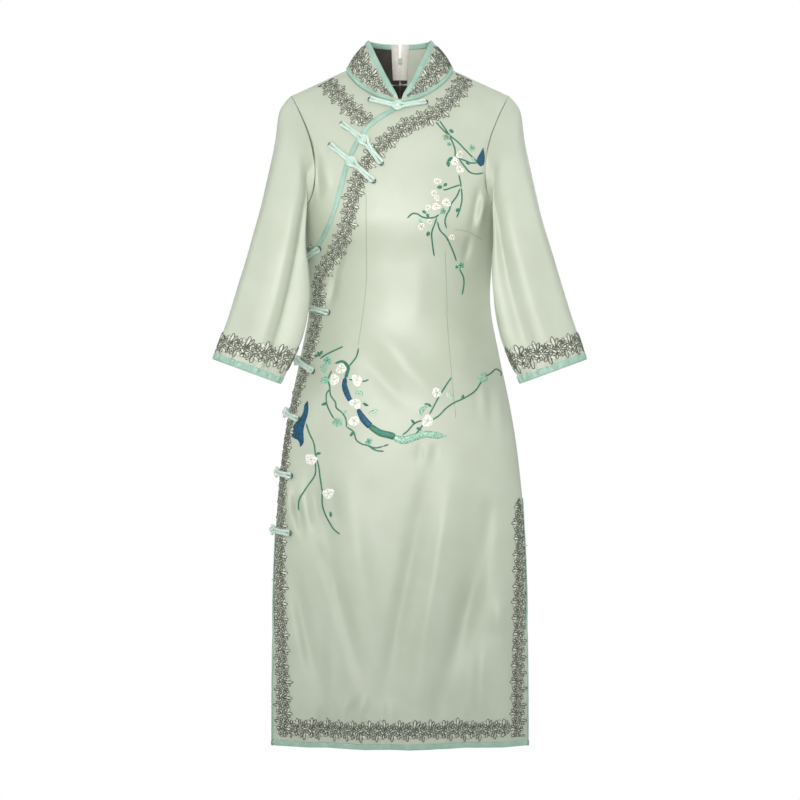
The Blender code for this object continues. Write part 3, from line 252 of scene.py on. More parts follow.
# Embroidery on the front, in millimetres: the line of each stem, as (x, z)
GREEN_STEMS = [
    [(59.5, -95), (71, -108), (80, -117), (87, -129), (91.4, -141.5), (91.4, -153)],
    [(66, -93), (76, -108), (83, -118), (96.5, -129), (107, -140), (120, -153), (130, -162)],
    [(96.5, -156.6), (109, -160), (118, -163.6), (130, -162.4)],
    [(99, -159), (107, -169), (116, -179), (128, -181.6), (139.6, -179)],
    [(97.7, -184), (101, -199.6), (101, -205.4)],
    [(100, -201), (87, -205.4), (77, -209.4), (71, -210)],
    [(100, -206.6), (94, -220.5), (85, -233), (81.5, -244), (77, -251.6), (74.5, -262.6), (77.3, -274)],
    [(102, -206.6), (103, -223), (101, -236), (98, -246), (94, -255.6)],
    [(12, -258), (20, -250.3), (28, -250.3), (37, -255.6), (49, -257.3), (58, -255.6), (65, -251)],
    [(61, -256.6), (57, -268), (52.5, -282), (53.7, -298.5), (57, -319.5)],
    [(62, -262.6), (66, -276.5), (76, -287), (82.6, -298.5), (89.6, -313.6), (94, -326.5)],
    [(99, -339), (106, -352), (107, -364.7), (104, -382)],
    [(-95, -468.6), (-116, -478), (-127, -483.6), (-134, -489)],
    [(-69, -471.4), (-73, -486.5), (-85, -501.7)],
    [(-85, -523.7), (-71.5, -525.4), (-61, -527), (-52, -524)],
    [
        (-114, -508.7), (-120, -523.7), (-117, -539), (-122.5, -547), (-122.5, -563), (-117, -577),
        (-110, -589),
    ],
    [
        (-117, -539), (-115.6, -550.4), (-107.5, -562), (-106, -571), (-96, -579.5), (-90, -590),
        (-89, -602.7),
    ],
    [(-89, -602.7), (-77, -611), (-73, -623.6), (-64.6, -630.5), (-55, -633), (-42, -637.5), (-28.5, -635)],
    [(-28.5, -635), (-19, -631.7)],
    [(-53, -633), (-40, -641.6), (-26.5, -643)],
    [(4, -616), (12.6, -609.5), (24, -597), (36, -592)],
    [(24, -617), (31.6, -608), (38, -599)],
    [
        (53, -591), (64.6, -584), (77, -571.4), (90, -562.6), (102.5, -557), (118, -548.6), (128, -540),
        (137, -526),
    ],
    [(49, -581.5), (54.5, -571.4), (64.6, -552.4), (75, -536), (85.4, -520.7)],
    [(140, -519), (151, -514.4), (161, -506), (167, -508), (171, -512), (170.4, -518)],
    [
        (-157, -597), (-152, -612.5), (-144, -629.5), (-141, -648), (-136, -668), (-133.5, -687),
        (-130, -711),
    ],
    [(-130, -711), (-130, -732), (-125.5, -748), (-118, -762), (-110.6, -773), (-99.4, -781.6)],
    [
        (-141, -662), (-141, -678), (-144, -687), (-156, -704), (-167.6, -722), (-170.4, -734),
        (-169.7, -744),
    ],
]
Limb = namedtuple("Limb", "thread width shares line")
# The thick limbs of the branch, with their width from end to end as shares of the full one
LIMBS = table(
    Limb,
    ("green", 6.2, (0.5, 0.9, 1.0), [(-108.6, -497), (-96, -493.4), (-87, -502), (-87, -509), (-91, -522)]),
    ("navy", 10.0, (0.7, 1.0, 0.8), [(-91, -521), (-92.4, -534), (-88, -548), (-82, -560.5)]),
    ("navy", 11.5, (0.6, 1.0, 1.0), [(-70, -573), (-61, -589), (-48, -603)]),
    ("green", 11.5, (0.9, 1.0, 1.0), [(-50, -601), (-34, -612), (-16.6, -616.6), (-8, -620)]),
    (
        "speckled", 12.5, (0.9, 1.0, 1.0, 0.9, 0.9, 0.1),
        [(-10, -620.5), (6, -624.7), (24, -619.6), (44, -614.5), (62, -617), (79, -617.6)],
    ),
)
Blossom = namedtuple("Blossom", "x z radius")
WHITE_BLOSSOMS = table(
    Blossom,
    (-98, -506, 10), (-109, -524, 10), (-71.5, -525, 10.8), (-74, -564, 10.8), (-76, -593, 10),
    (45.5, -593, 11), (61, -546, 9.4), (-148, -657, 11), (-119, -714, 10.5), (99, -150, 6.6),
    (91, -162, 7.5), (99, -175, 7.6), (62, -196, 6.6), (56, -216, 6), (61, -224, 6), (77, -231, 8.3),
    (59.5, -238, 7.6), (46, -240, 6), (35, -271, 6.6), (49, -263, 5), (86, -288, 6),
)
PALE_BLOSSOMS = table(
    Blossom,
    (-125.5, -525, 8.3), (-104, -595, 9.3), (-121, -492, 8), (-127.5, -505, 8), (-52, -627, 6.6),
    (77, -121, 6.6), (81, -133, 4), (120, -138, 6), (71, -246, 6), (138, -521, 10), (101, -333, 6.6),
)
FANS = table(Blossom, (-68, -549, 8.3), (40.4, -576.5, 10), (85, -549, 6.6), (-45, -575, 7))
Leaf = namedtuple("Leaf", "x z angle length width")
GREEN_LEAVES = table(
    Leaf,
    (-134, -485, 120, 9, 6), (-137, -483, 190, 8, 5), (-134, -482, 60, 8, 5), (-62, -563, -26, 11, 4.5),
    (40, -567.5, 38, 7, 4.5), (45, -564, -35, 9, 4.5), (27, -604, -25, 10, 5), (82, -108, -35, 9, 6),
    (88, -155, 215, 12, 6), (79, -161, -80, 11, 6), (109, -161, -40, 9, 5), (70, -205, 190, 9, 6),
    (78, -199, -140, 8, 5), (37, -245, -40, 8, 5), (44, -250, -60, 8, 5), (48, -279, -110, 9, 6),
    (97, -240, -120, 8, 5.5), (97, -332, -120, 8, 5.5), (-116, -744, -85, 10, 5), (-122, -563, 200, 10, 5),
    (-77, -611, 230, 10, 5), (103, -557, 70, 9, 4.5), (24, -597, 130, 9, 4.5), (-141, -648, 10, 10, 4.5),
)
PALE_LEAVES = table(Leaf, (31, -259, -40, 9, 6), (-96, -579, 20, 9, 5), (120, -153, -70, 9, 5))
LeafRow = namedtuple("LeafRow", "left_x left_z right_x right_z")
# The two dark blue leaves, each by places on its two edges from the tip down
NAVY_LEAVES = [
    table(
        LeafRow,
        (-154, -559, -154, -559), (-160, -566, -153, -570), (-162, -578, -154, -582),
        (-169, -591, -158, -595), (-178, -600, -161, -607), (-181, -619, -161, -618),
        (-170, -626, -161, -630), (-167, -637, -167, -637),
    ),
    table(
        LeafRow,
        (139, -136, 139, -136), (133, -147, 141, -149), (128, -157, 141, -159),
        (129, -164, 139, -166), (134, -169, 134, -169),
    ),
]


# ------------------------------------------------------------------ curves and tables
def cell(share, last):
    """Which of `last` steps holds a share of them all, and how far into that step it lies."""
    at = min(max(share, 0.0), 1.0) * last
    k = min(int(at), last - 1)
    return k, at - k


def through(points, at):
    """The point at share `at` of a Catmull-Rom curve through the points, evenly by their index."""
    last = len(points) - 1
    i, f = cell(at, last)
    a, b, c, d = (points[min(max(i + k, 0), last)] for k in (-1, 0, 1, 2))
    return tuple(
        q + 0.5 * f * (r - p + f * (2 * p - 5 * q + 4 * r - s + f * (3 * (q - r) + s - p)))
        for p, q, r, s in zip(a, b, c, d)
    )


def distances(points):
    """How far along the line each point lies."""
    gone = [0.0]
    for p, q in zip(points, points[1:]):
        gone.append(gone[-1] + (q - p).length)
    return gone


def evenly(points, count, fine=160):
    """Points at equal steps of length along the curve through the given points."""
    fine = max(fine, 2 * count)
    dense = [Vector(through(points, k / fine)) for k in range(fine + 1)]
    lengths = distances(dense)
    made = []
    k = 0
    for step in range(count + 1):
        want = lengths[-1] * step / count
        while k < fine - 1 and lengths[k + 1] < want:
            k += 1
        share = (want - lengths[k]) / max(lengths[k + 1] - lengths[k], 1e-12)
        made.append(dense[k].lerp(dense[k + 1], min(max(share, 0.0), 1.0)))
    return made


def row_at(rows, value):
    """The row of a table at `value` of its first column, on a smooth curve through the rows."""
    i = 0
    while i < len(rows) - 2 and rows[i + 1][0] <= value:
        i += 1
    share = (value - rows[i][0]) / (rows[i + 1][0] - rows[i][0])
    return type(rows[0])(*through(rows, (i + share) / (len(rows) - 1)))


def length_of(points):
    return distances(points)[-1]


def heading(points, k):
    """The way the line runs at its point k, from the point before to the one after."""
    return points[min(k + 1, len(points) - 1)] - points[max(k - 1, 0)]


def turned(angle):
    """A turn in the plane of a flat drawing, by an angle in degrees."""
    return Matrix.Rotation(math.radians(angle), 3, "Z")


# ------------------------------------------------------------------ the body's form
def shoulder_z(x):
    slope = SHOULDER_Z / (SHOULDER_X - NECK_HALF)
    return slope * max(abs(x) - NECK_HALF, 0.0) + 0.004 * max(1 - abs(x) / NECK_HALF, 0.0)


DEEPENED = [(FOLD_GAIN, fold) for fold in FOLDS] + [(CREASE_GAIN, fold) for fold in CREASES]


def eased(share):
    return math.sin(min(share * FADE, 1.0) * math.pi / 2) ** 2


def fold_depth(x, z, face):
    """How far the folds and creases move the cloth out at a point of the front (-1) or back (+1)."""
    out = 0.0
    for gain, fold in DEEPENED:
        if fold.face != face:
            continue
        down = (fold.top_z - z) / (fold.top_z - fold.low_z)
        if not 0 < down < 1:
            continue
        middle = fold.top_x + (fold.low_x - fold.top_x) * down
        off = ((x - middle) / fold.width) ** 2
        if off > 9:
            continue
        closes = 1.0 if fold.low_z < HEM_Z else 1 - down
        out += gain * fold.depth * eased(down) * eased(closes) * math.exp(-off)
    out += UNEVEN * noise.noise((x * UNEVEN_ACROSS, z * UNEVEN_DOWN, face * 3.0))
    pucker = max(1 - (z - HEM_Z) / PUCKERED_TO, 0.0)
    spot = (x * PUCKER_ACROSS + z * PUCKER_SLANT, z * PUCKER_DOWN, face * 5.0)
    return out + PUCKER * pucker * noise.noise(spot)


def body_y(x, z, face):
    """The y of the outer surface of the front or back at (x, z)."""
    section = row_at(BODY, z)
    depth = section.front if face < 0 else section.back
    edge = section.edge if face < 0 else min(section.edge, BACK_EDGE_MOST)
    share = max(0.0, 1 - (x / section.half_width) ** 2) ** edge
    y = face * (depth * share + fold_depth(x, z, face) * min(share * 3, 1.0))
    if z > UNDERARM_Z:
        top = shoulder_z(x)
        fall = min(max((top - z) / (top - UNDERARM_Z), 0.0), 1.0)
        y = SHOULDER_Y + (y - SHOULDER_Y) * (1 - (1 - fall) ** 2) ** SHOULDER_ROUND
    return y


def body_point(x, z, face):
    return Vector((x, body_y(x, z, face), z))


def side_x(z):
    return row_at(BODY, z).half_width


def body_normal(x, z, face, step=0.003):
    """Outward direction of the body's form, which near the side turns towards the side."""
    inside = math.copysign(min(abs(x), side_x(z) - 2 * step), x)
    du = body_point(inside + step, z, face) - body_point(inside - step, z, face)
    dv = body_point(inside, z + step, face) - body_point(inside, z - step, face)
    return (du.cross(dv) * -face).normalized()


def from_side(z, distance, side, face, fine=120):
    """The (x, z) on the front or back that lies `distance` along the cloth from the side seam."""
    half = side_x(z)
    last = Vector((half, 0.0))
    gone = 0.0
    for k in range(1, fine + 1):
        x = half * math.cos(math.pi / 2 * k / fine)
        point = Vector((x, body_y(x * side, z, face)))
        gone += (point - last).length
        if gone >= distance:
            return x * side, z
        last = point
    return 0.0, z


# ------------------------------------------------------------------ the cut pieces, as rows of points
# Rows run upwards and columns to the right, as seen from outside
def armhole(face, side):
    line = (ARMHOLE_FRONT if face < 0 else ARMHOLE_BACK) + [(SHOULDER_X, SHOULDER_Z)]
    return [Vector((side * p.x, p.y)) for p in evenly(line, ARMHOLE_ROWS)]


def side_and_armhole(face, side):
    rise = (UNDERARM_Z - LAPEL_END_Z) / SIDE_ROWS
    heights = [LAPEL_END_Z + rise * k for k in range(SIDE_ROWS)]
    return [Vector((side * side_x(z), z)) for z in heights] + armhole(face, side)


def neck(face, side):
    drop, power = (NECK_FRONT_Z, NECK_FRONT_POWER) if face < 0 else (NECK_BACK_Z, NECK_BACK_POWER)
    edge = []
    for k in range(NECK_ROWS + 1):
        across = math.sin(math.pi / 2 * (k / NECK_ROWS) ** 0.9)
        edge.append(Vector((side * NECK_HALF * across, drop * (1 - across**power) ** (1 / power))))
    return edge


def lapel_and_neck(side):
    line = [(-side_x(LAPEL_END_Z), LAPEL_END_Z)] + LAPEL + [(0.0, NECK_FRONT_Z)]
    return evenly(line, LAPEL_ROWS) + neck(-1, side)[1:]


def back_centre_and_neck(side):
    low, high = Vector((0.0, LAPEL_END_Z)), Vector((0.0, NECK_BACK_Z))
    return [low.lerp(high, k / LAPEL_ROWS) for k in range(LAPEL_ROWS + 1)] + neck(1, side)[1:]


def shoulder(side, columns):
    across = [NECK_HALF + (SHOULDER_X - NECK_HALF) * k / columns for k in range(columns + 1)]
    return [Vector((side * x, shoulder_z(x))) for x in across]


def patch(bottom, top, left, right):
    """Rows of (x, z) that fill the outline given by its four edges."""
    across, up = len(bottom) - 1, len(left) - 1
    rows = []
    for j in range(up + 1):
        v = j / up
        row = []
        for i in range(across + 1):
            u = i / across
            edges = bottom[i] * (1 - v) + top[i] * v + left[j] * (1 - u) + right[j] * u
            low = bottom[0] * (1 - u) + bottom[-1] * u
            high = top[0] * (1 - u) + top[-1] * u
            row.append(edges - low * (1 - v) - high * v)
        rows.append(row)
    return rows


def level(z, columns, start, end):
    """A level row of (x, z) between two shares of the half turn round the body."""
    half = side_x(z)
    shares = [start + (end - start) * k / columns for k in range(columns + 1)]
    return [Vector((half * math.sin(math.pi / 2 * share), z)) for share in shares]


def on_body(rows, face):
    return [[body_point(p.x, p.y, face) for p in row] for row in rows]


def skirt_rows(columns, start, end, face, sides):
    """The rows of the skirt, whose side edges stand off the seam line below each slit's top."""
    rows = []
    for k in range(SKIRT_ROWS):
        z = HEM_Z + (LAPEL_END_Z - HEM_Z) * k / SKIRT_ROWS
        row = on_body([level(z, columns, start, end)], face)[0]
        for side in sides:
            stand = SLIT_SPREAD * max(SLIT_TOP[side] - z, 0.0) / (SLIT_TOP[side] - HEM_Z)
            ordered = row[::-1] if (row[-1].x > row[0].x) == (side > 0) else row
            for i in range(SLIT_OPENS_OVER):
                ordered[i].y += face * stand * (1 - i / SLIT_OPENS_OVER)
        rows.append(row)
    return rows


def main_front_rows():
    bottom = level(LAPEL_END_Z, FRONT_COLUMNS, -1, 1)
    chest = patch(bottom, shoulder(1, FRONT_COLUMNS), lapel_and_neck(1), side_and_armhole(-1, 1))
    return skirt_rows(FRONT_COLUMNS, -1, 1, -1, (-1, 1)) + on_body(chest, -1)


def chest_rows():
    """The smaller front under the lapel, from the wearer's right armhole to the lapel and neck."""
    left, right = side_and_armhole(-1, -1), lapel_and_neck(-1)
    low = [left[1].lerp(right[1], k / CHEST_COLUMNS) for k in range(CHEST_COLUMNS + 1)]
    return on_body(patch(low, shoulder(-1, CHEST_COLUMNS)[::-1], left[1:], right[1:]), -1)


def back_rows(side):
    """One half of the back, its columns running towards the wearer's right so that it faces out."""
    ends = (1, 0) if side > 0 else (0, -1)
    edges = [side_and_armhole(1, side), back_centre_and_neck(side)][::side]
    top = shoulder(side, BACK_COLUMNS)[::-side]
    chest = patch(level(LAPEL_END_Z, BACK_COLUMNS, *ends), top, *edges)
    return skirt_rows(BACK_COLUMNS, *ends, 1, (side,)) + on_body(chest, 1)


def sleeve_crease(side, turn, share):
    """How far the creases move a sleeve's cloth out, at a turn in degrees and a share of its length."""
    out = 0.0
    for crease in SLEEVE_CREASES:
        down = (share - crease.top) / (crease.low - crease.top)
        if crease.side == side and 0 < down < 1:
            off = turn - crease.turn_top - (crease.turn_low - crease.turn_top) * down
            off /= crease.inner if off > 0 else crease.outer
            out += crease.depth * math.sin(math.pi * down) ** 0.7 * math.exp(-off * off)
    return out


def sleeve_rows(side, front_edge, back_edge):
    """Rings from the cuff up to the armhole, each starting at the underarm and going round by the front."""
    loop = front_edge + back_edge[-2:0:-1]
    count = len(loop)

    def ring_point(station, angle, share):
        outer = Vector((side * station.outer_x, station.middle_y, station.outer_z))
        inner = Vector((side * station.inner_x, station.middle_y, station.inner_z))
        swell = sleeve_crease(side, math.degrees(angle), share)
        puckered = max(share - CUFF_PUCKERED_FROM, 0.0) / (1 - CUFF_PUCKERED_FROM)
        swell += CUFF_PUCKER * puckered * noise.noise((angle * 8, share * 12, side * 4.0))
        swell += UNEVEN * noise.noise((angle * 1.6, share * 7, side * 6.0)) * min(share * 5, 1.0)
        half = (outer - inner) / 2
        point = (outer + inner) / 2 + half * math.cos(angle) * (1 + swell / half.length)
        point.y -= (station.half_depth + swell) * math.sin(angle)
        point.x -= side * station.pull * max(math.sin(angle - SLEEVE_PULL_TURN), 0.0) ** 2
        return point

    rows = []
    for j in range(SLEEVE_ROWS, -1, -1):
        share = j / SLEEVE_ROWS
        station = Station(*through(SLEEVE, share))
        row = []
        for k in range(count):
            angle = math.pi * (1 - 2 * k / count)
            off = loop[k] - ring_point(SLEEVE[0], angle, 0.0)
            row.append(ring_point(station, angle, share) + off * station.armhole_share)
        rows.append(row if side > 0 else row[::-1])
    return rows


def collar_rows(seam, side):
    """Half of the stand collar. seam runs from centre front to centre back."""
    gone = distances(seam)
    tops = [row_at(COLLAR, distance / gone[-1]) for distance in gone]
    rows = []
    for j in range(COLLAR_ROWS + 1):
        v = j / COLLAR_ROWS
        row = []
        for base, section in zip(seam, tops):
            top = Vector((side * section.top_x, section.top_y, section.top_z))
            out = Vector((base.x, base.y, 0.0)).normalized()
            bow = COLLAR_BOW * math.sin(math.pi * v) * min((top - base).length / COLLAR_FULL, 1.0)
            row.append(base.lerp(top, v) + out * bow)
        rows.append(row if side > 0 else row[::-1])
    return rows


# ------------------------------------------------------------------ shapes
def surface(bm, across, along, place, closed=False, finish=0):
    """A sheet of cells, each of its points put at place(u, v); a closed one has its two sides joined."""
    made = bmesh.ops.create_grid(bm, x_segments=across, y_segments=along, size=0.5, calc_uvs=True)["verts"]
    for v in made:
        v.co = place(v.co.x + 0.5, v.co.y + 0.5)
    if finish:
        for face in {face for v in made for face in v.link_faces}:
            face.material_index = finish
    if closed:
        bmesh.ops.remove_doubles(bm, verts=made, dist=1e-6)


def drawing():
    bm = bmesh.new()
    bm.loops.layers.uv.new("UVMap")
    return bm


def cord(bm, sides, count, at, finish=0):
    """A round cord. at(k) gives its middle at each step, and half its cross-section to the side and upwards."""

    def place(u, v):
        middle, aside, up = at(round(v * count))
        turn = -2 * math.pi * u
        return middle + aside * math.cos(turn) + up * math.sin(turn)

    surface(bm, sides, count, place, closed=True, finish=finish)


def tube(bm, path, radius, sides=8, flat=1.0, finish=0, widths=(1.0, 1.0)):
    """A cord along a line of points, drawn in at its ends; flat is its height as a share of its width."""
    count = len(path) - 1
    widths = [(share,) for share in widths]

    def at(k):
        along = heading(path, k).normalized()
        aside = along.cross(UP).normalized()
        wide = radius * through(widths, k / count)[0] * (0.4 if k in (0, count) else 1.0)
        return path[k], aside * wide, aside.cross(along) * wide * flat

    cord(bm, sides, count, at, finish)


def petal(bm, base, angle, length, width, high, finish=0, cells=(4, 6), blunt=0.85):
    """A raised petal or leaf that points away from its base. A blunt one is widest near its end."""
    turn = turned(angle)

    def place(u, v):
        side = 1 - 2 * u
        fat = math.sin(math.pi * v**blunt) ** 0.7 if 0 < v < 1 else 0.0
        dome = high * (1 - side * side) * (0.3 + 0.7 * fat)
        return base + turn @ Vector((length * v, side * width / 2 * fat, dome))

    surface(bm, *cells, place, finish=finish)


def corded_petal(bm, base, angle, length, width, thick, fill, edge, steps=12):
    """A petal of lace: a filled leaf with a cord sewn all round it."""
    petal(bm, base, angle, length, width, 0.5 * MM, fill, (2, 4))
    turn = turned(angle)

    def at(k):
        a = 2 * math.pi * k / steps
        far = (1 - math.cos(a)) / 2
        middle = Vector((length * far, width / 2 * math.sin(a) * (0.55 + 0.5 * far), 0.5 * MM))
        out = Vector((-math.cos(a), math.sin(a), 0.0))
        return base + turn @ middle, turn @ out * thick, UP * thick

    cord(bm, 4, steps, at, edge)


def ring(bm, centre, radius, thick, finish, steps=8):
    """A small corded eyelet that lies flat."""

    def at(k):
        a = 2 * math.pi * k / steps
        out = Vector((math.cos(a), math.sin(a), 0))
        return centre + out * radius, out * thick, UP * thick

    cord(bm, 4, steps, at, finish)


def put_in_scene(name, data):
    made = bpy.data.objects.new(name, data)
    bpy.context.scene.collection.objects.link(made)
    return made


def meshed(name, bm, materials):
    """An object made of a drawing, which is then done with."""
    mesh = bpy.data.meshes.new(name)
    bm.to_mesh(mesh)
    bm.free()
    for each in materials:
        mesh.materials.append(each)
    return put_in_scene(name, mesh)


def show(name, bm, materials, replaces=()):
    """Makes a finished piece of the dress that stands for the named CAD nodes."""
    made = meshed(name, bm, materials)
    made.data.shade_smooth()
    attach(made, "dress")
    if replaces:
        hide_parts(*replaces)
    return made


def settle(bm, place):
    """Lays a flat drawing on the cloth."""
    for v in bm.verts:
        v.co = place(*v.co)


# ------------------------------------------------------------------ colours and materials
def linear(code):
    """A linear colour from an sRGB hex code."""
    parts = [int(code[k : k + 2], 16) / 255 for k in (1, 3, 5)]
    return (*(p / 12.92 if p <= 0.04045 else ((p + 0.055) / 1.055) ** 2.4 for p in parts), 1.0)


def add(tree, kind, inputs, **settings):
    """Adds a node, sets its properties, gives its inputs values or links, and returns its outputs."""
    made = tree.nodes.new(kind)
    for key, value in settings.items():
        setattr(made, key, value)
    for key, value in inputs.items():
        if isinstance(value, bpy.types.NodeSocket):
            tree.links.new(value, made.inputs[key])
        else:
            made.inputs[key].default_value = value
    return made.outputs


def cloth_finish(name, light, dark, rough, mottle_mm, threads_mm, relief, depth_mm, more=None):
    """Two close tones that drift over mottle_mm, and a relief of threads.

    threads_mm gives the threads' sizes along X, Y and Z, and more gives other values of the shader.
    """
    made = bpy.data.materials.new(name)
    made.use_nodes = True
    tree = made.node_tree
    shader = tree.nodes["Principled BSDF"]
    place = add(tree, "ShaderNodeTexCoord", {})["Object"]
    drifts = {"Vector": place, "Scale": 1 / (mottle_mm * MM), "Detail": 4.0}
    drift = add(tree, "ShaderNodeTexNoise", drifts)["Fac"]
    tone = add(tree, "ShaderNodeMapRange", {"Value": drift, "From Min": 0.35, "From Max": 0.65})["Result"]
    scale = tuple(1 / (size * MM) for size in threads_mm)
    stretched = add(tree, "ShaderNodeMapping", {"Vector": place, "Scale": scale})["Vector"]
    threads = add(tree, "ShaderNodeTexNoise", {"Vector": stretched, "Scale": 1.0, "Detail": 2.0})["Fac"]
    colour = add(tree, "ShaderNodeMix", {0: tone, 6: linear(light), 7: linear(dark)}, data_type="RGBA")[2]
    bump_inputs = {"Strength": relief, "Distance": depth_mm * MM, "Height": threads}
    normal = add(tree, "ShaderNodeBump", bump_inputs)["Normal"]
    sheens = {"Value": threads, "To Min": rough - 0.05, "To Max": rough + 0.07}
    roughness = add(tree, "ShaderNodeMapRange", sheens)
    tree.links.new(colour, shader.inputs["Base Color"])
    tree.links.new(roughness["Result"], shader.inputs["Roughness"])
    tree.links.new(normal, shader.inputs["Normal"])
    for key, value in (more or {}).items():
        shader.inputs[key].default_value = value
    return made


# Sizes of threads along X, Y and Z, in millimetres
EVEN_WEAVE, FLOSS = (0.6, 0.6, 0.6), (0.5, 0.5, 0.9)
FAINT_SHEEN, SHEEN = {"Sheen Weight": 0.1}, {"Sheen Weight": 0.2}

# Silk satin: long floats give a broad soft sheen. Floats are 0.15 mm wide, drawn coarse at 0.6 mm to show
SATIN = cloth_finish(
    "sage_satin_weave", "#bdc7b5", "#b8c2af", 0.50, 60, (0.6, 0.6, 6), 0.2, 0.08,
    {**FAINT_SHEEN, "Specular IOR Level": 0.85},
)
# The same satin dyed mint and cut on the bias, so its sheen breaks up along the folded strip
MINT = cloth_finish(
    "mint_satin_bias", "#a3c6b6", "#93b7a7", 0.42, 20, (0.7, 0.7, 2.5), 0.35, 0.12, FAINT_SHEEN
)
# Lining twill, dull and plain, and a dark taupe that paints the shade inside the neck
LINING = cloth_finish("pale_lining_weave", "#c4cbbb", "#b8c0ae", 0.6, 50, EVEN_WEAVE, 0.2, 0.08)
NECK_SHADE = cloth_finish("painted_neck_shade_weave", "#423d37", "#37332e", 0.8, 20, EVEN_WEAVE, 0.3, 0.1)
# Corded lace of matt cotton, all without shine: a net ground whose grey partly paints the shade in the gaps
# between the cords, pale and middling cords, and dark edge cords that paint the shadows round the raised petals
NET_AND_GAP_SHADE = cloth_finish("lace_net_and_gap_shade", "#a6ac9d", "#949a8b", 0.85, 4, (0.8, 0.8, 0.8), 0.5, 0.3)
PALE_CORD = cloth_finish("lace_cord_pale", "#e2e7da", "#ccd2c3", 0.75, 6, EVEN_WEAVE, 0.5, 0.25)
MID_CORD = cloth_finish("lace_cord_grey_green", "#c3c9ba", "#aeb4a5", 0.75, 6, EVEN_WEAVE, 0.5, 0.25)
SHADOW_EDGE_CORD = cloth_finish("lace_cord_painted_shadow", "#697061", "#596052", 0.8, 6, EVEN_WEAVE, 0.5, 0.25)
# Frog cord: bias satin rolled tight, so it shines in a line along each cord, and the dark tip on the end of
# each arm
FROG_SATIN = cloth_finish("frog_cord_satin", "#d0e4d9", "#c0d9cd", 0.34, 8, (0.7, 0.7, 0.7), 0.4, 0.15, SHEEN)
FROG_DARK_TIP = cloth_finish("frog_arm_dark_tip", "#5d6a5b", "#4c584b", 0.6, 4, EVEN_WEAVE, 0.6, 0.25)
# Embroidery floss: silk, which shines along each stitch
GREEN_FLOSS = cloth_finish("green_floss", "#34866a", "#1f6a50", 0.45, 5, FLOSS, 0.6, 0.2, SHEEN)
NAVY_FLOSS = cloth_finish("navy_floss", "#005a78", "#003c58", 0.5, 5, FLOSS, 0.6, 0.2)
SPECKLED_FLOSS = cloth_finish("speckled_floss", "#c4dfcb", "#4fa184", 0.5, 2.2, (0.6, 0.6, 0.9), 0.7, 0.25)
MINT_FLOSS = cloth_finish("mint_floss", "#a5d0b8", "#78b79b", 0.45, 4, FLOSS, 0.6, 0.2)
PALE_FLOSS = cloth_finish("pale_green_floss", "#dbe7d6", "#c3d6c0", 0.45, 5, FLOSS, 0.6, 0.2)
WHITE_FLOSS = cloth_finish("white_floss", "#f3f5ee", "#e2e9e0", 0.45, 5, FLOSS, 0.6, 0.2)
GOLD_FLOSS = cloth_finish("gold_floss", "#cf9a4e", "#b9803a", 0.5, 3, FLOSS, 0.6, 0.2)
# Sewing thread in the dart seams, a shade darker than the satin as painted shade of each dart's groove, so each
# dart reads as a fine line
DART_GROOVE_SHADE = cloth_finish("dart_seam_painted_shade", "#a3ad98", "#98a28d", 0.6, 10, (0.5, 0.5, 0.5), 0.4, 0.1)
# Woven zip tape is matt, the moulded nylon coil has a slight shine, and the slider's paint a brighter one
ZIP_TAPE = cloth_finish("ivory_zip_tape_weave", "#e6e5dc", "#d9d8ce", 0.75, 12, (0.5, 0.5, 0.5), 0.5, 0.2)
ZIP_COIL = cloth_finish("nylon_zip_coil", "#d9d9cf", "#cbccc1", 0.4, 10, (0.8, 0.8, 0.8), 0.2, 0.1)
ZIP_PAINT = cloth_finish(
    "painted_zip_slider", "#b9c3b2", "#aeb9a7", 0.32, 3, (0.4, 0.4, 0.4), 0.15, 0.05, {"Metallic": 0.3}
)


# ------------------------------------------------------------------ cloth
def outward(rows, j, i, closed=False):
    row, last = rows[j], len(rows[j]) - 1
    before = row[i - 1] if closed else row[max(i - 1, 0)]
    after = row[(i + 1) % len(row)] if closed else row[min(i + 1, last)]
    up = rows[min(j + 1, len(rows) - 1)][i] - rows[max(j - 1, 0)][i]
    return (after - before).cross(up).normalized()


def edge_places(rows, where):
    """Places (row, column) along an edge, and the step from there into the piece."""
    top, right = len(rows) - 1, len(rows[0]) - 1
    return {
        "bottom": ([(0, i) for i in range(right + 1)], (1, 0)),
        "top": ([(top, i) for i in range(right + 1)], (-1, 0)),
        "left": ([(j, 0) for j in range(top + 1)], (0, 1)),
        "right": ([(j, right) for j in range(top + 1)], (0, -1)),
    }[where]


def edge_frames(rows, where, closed=False):
    """(point, direction into the piece, outward direction) at each place along an edge."""
    places, (dj, di) = edge_places(rows, where)
    frames = []
    for k, (j, i) in enumerate(places):
        out = outward(rows, j, i, closed)
        if closed:
            before, after = rows[j][i - 1], rows[j][(i + 1) % len(places)]
        else:
            (bj, bi), (aj, ai) = places[max(k - 1, 0)], places[min(k + 1, len(places) - 1)]
            before, after = rows[bj][bi], rows[aj][ai]
        into = rows[j + 2 * dj][i + 2 * di] - rows[j][i]
        along = (after - before).normalized()
        into = into - along * into.dot(along) - out * into.dot(out)
        frames.append((rows[j][i].copy(), into.normalized(), out))
    if closed:
        frames.append(frames[0])
    return frames


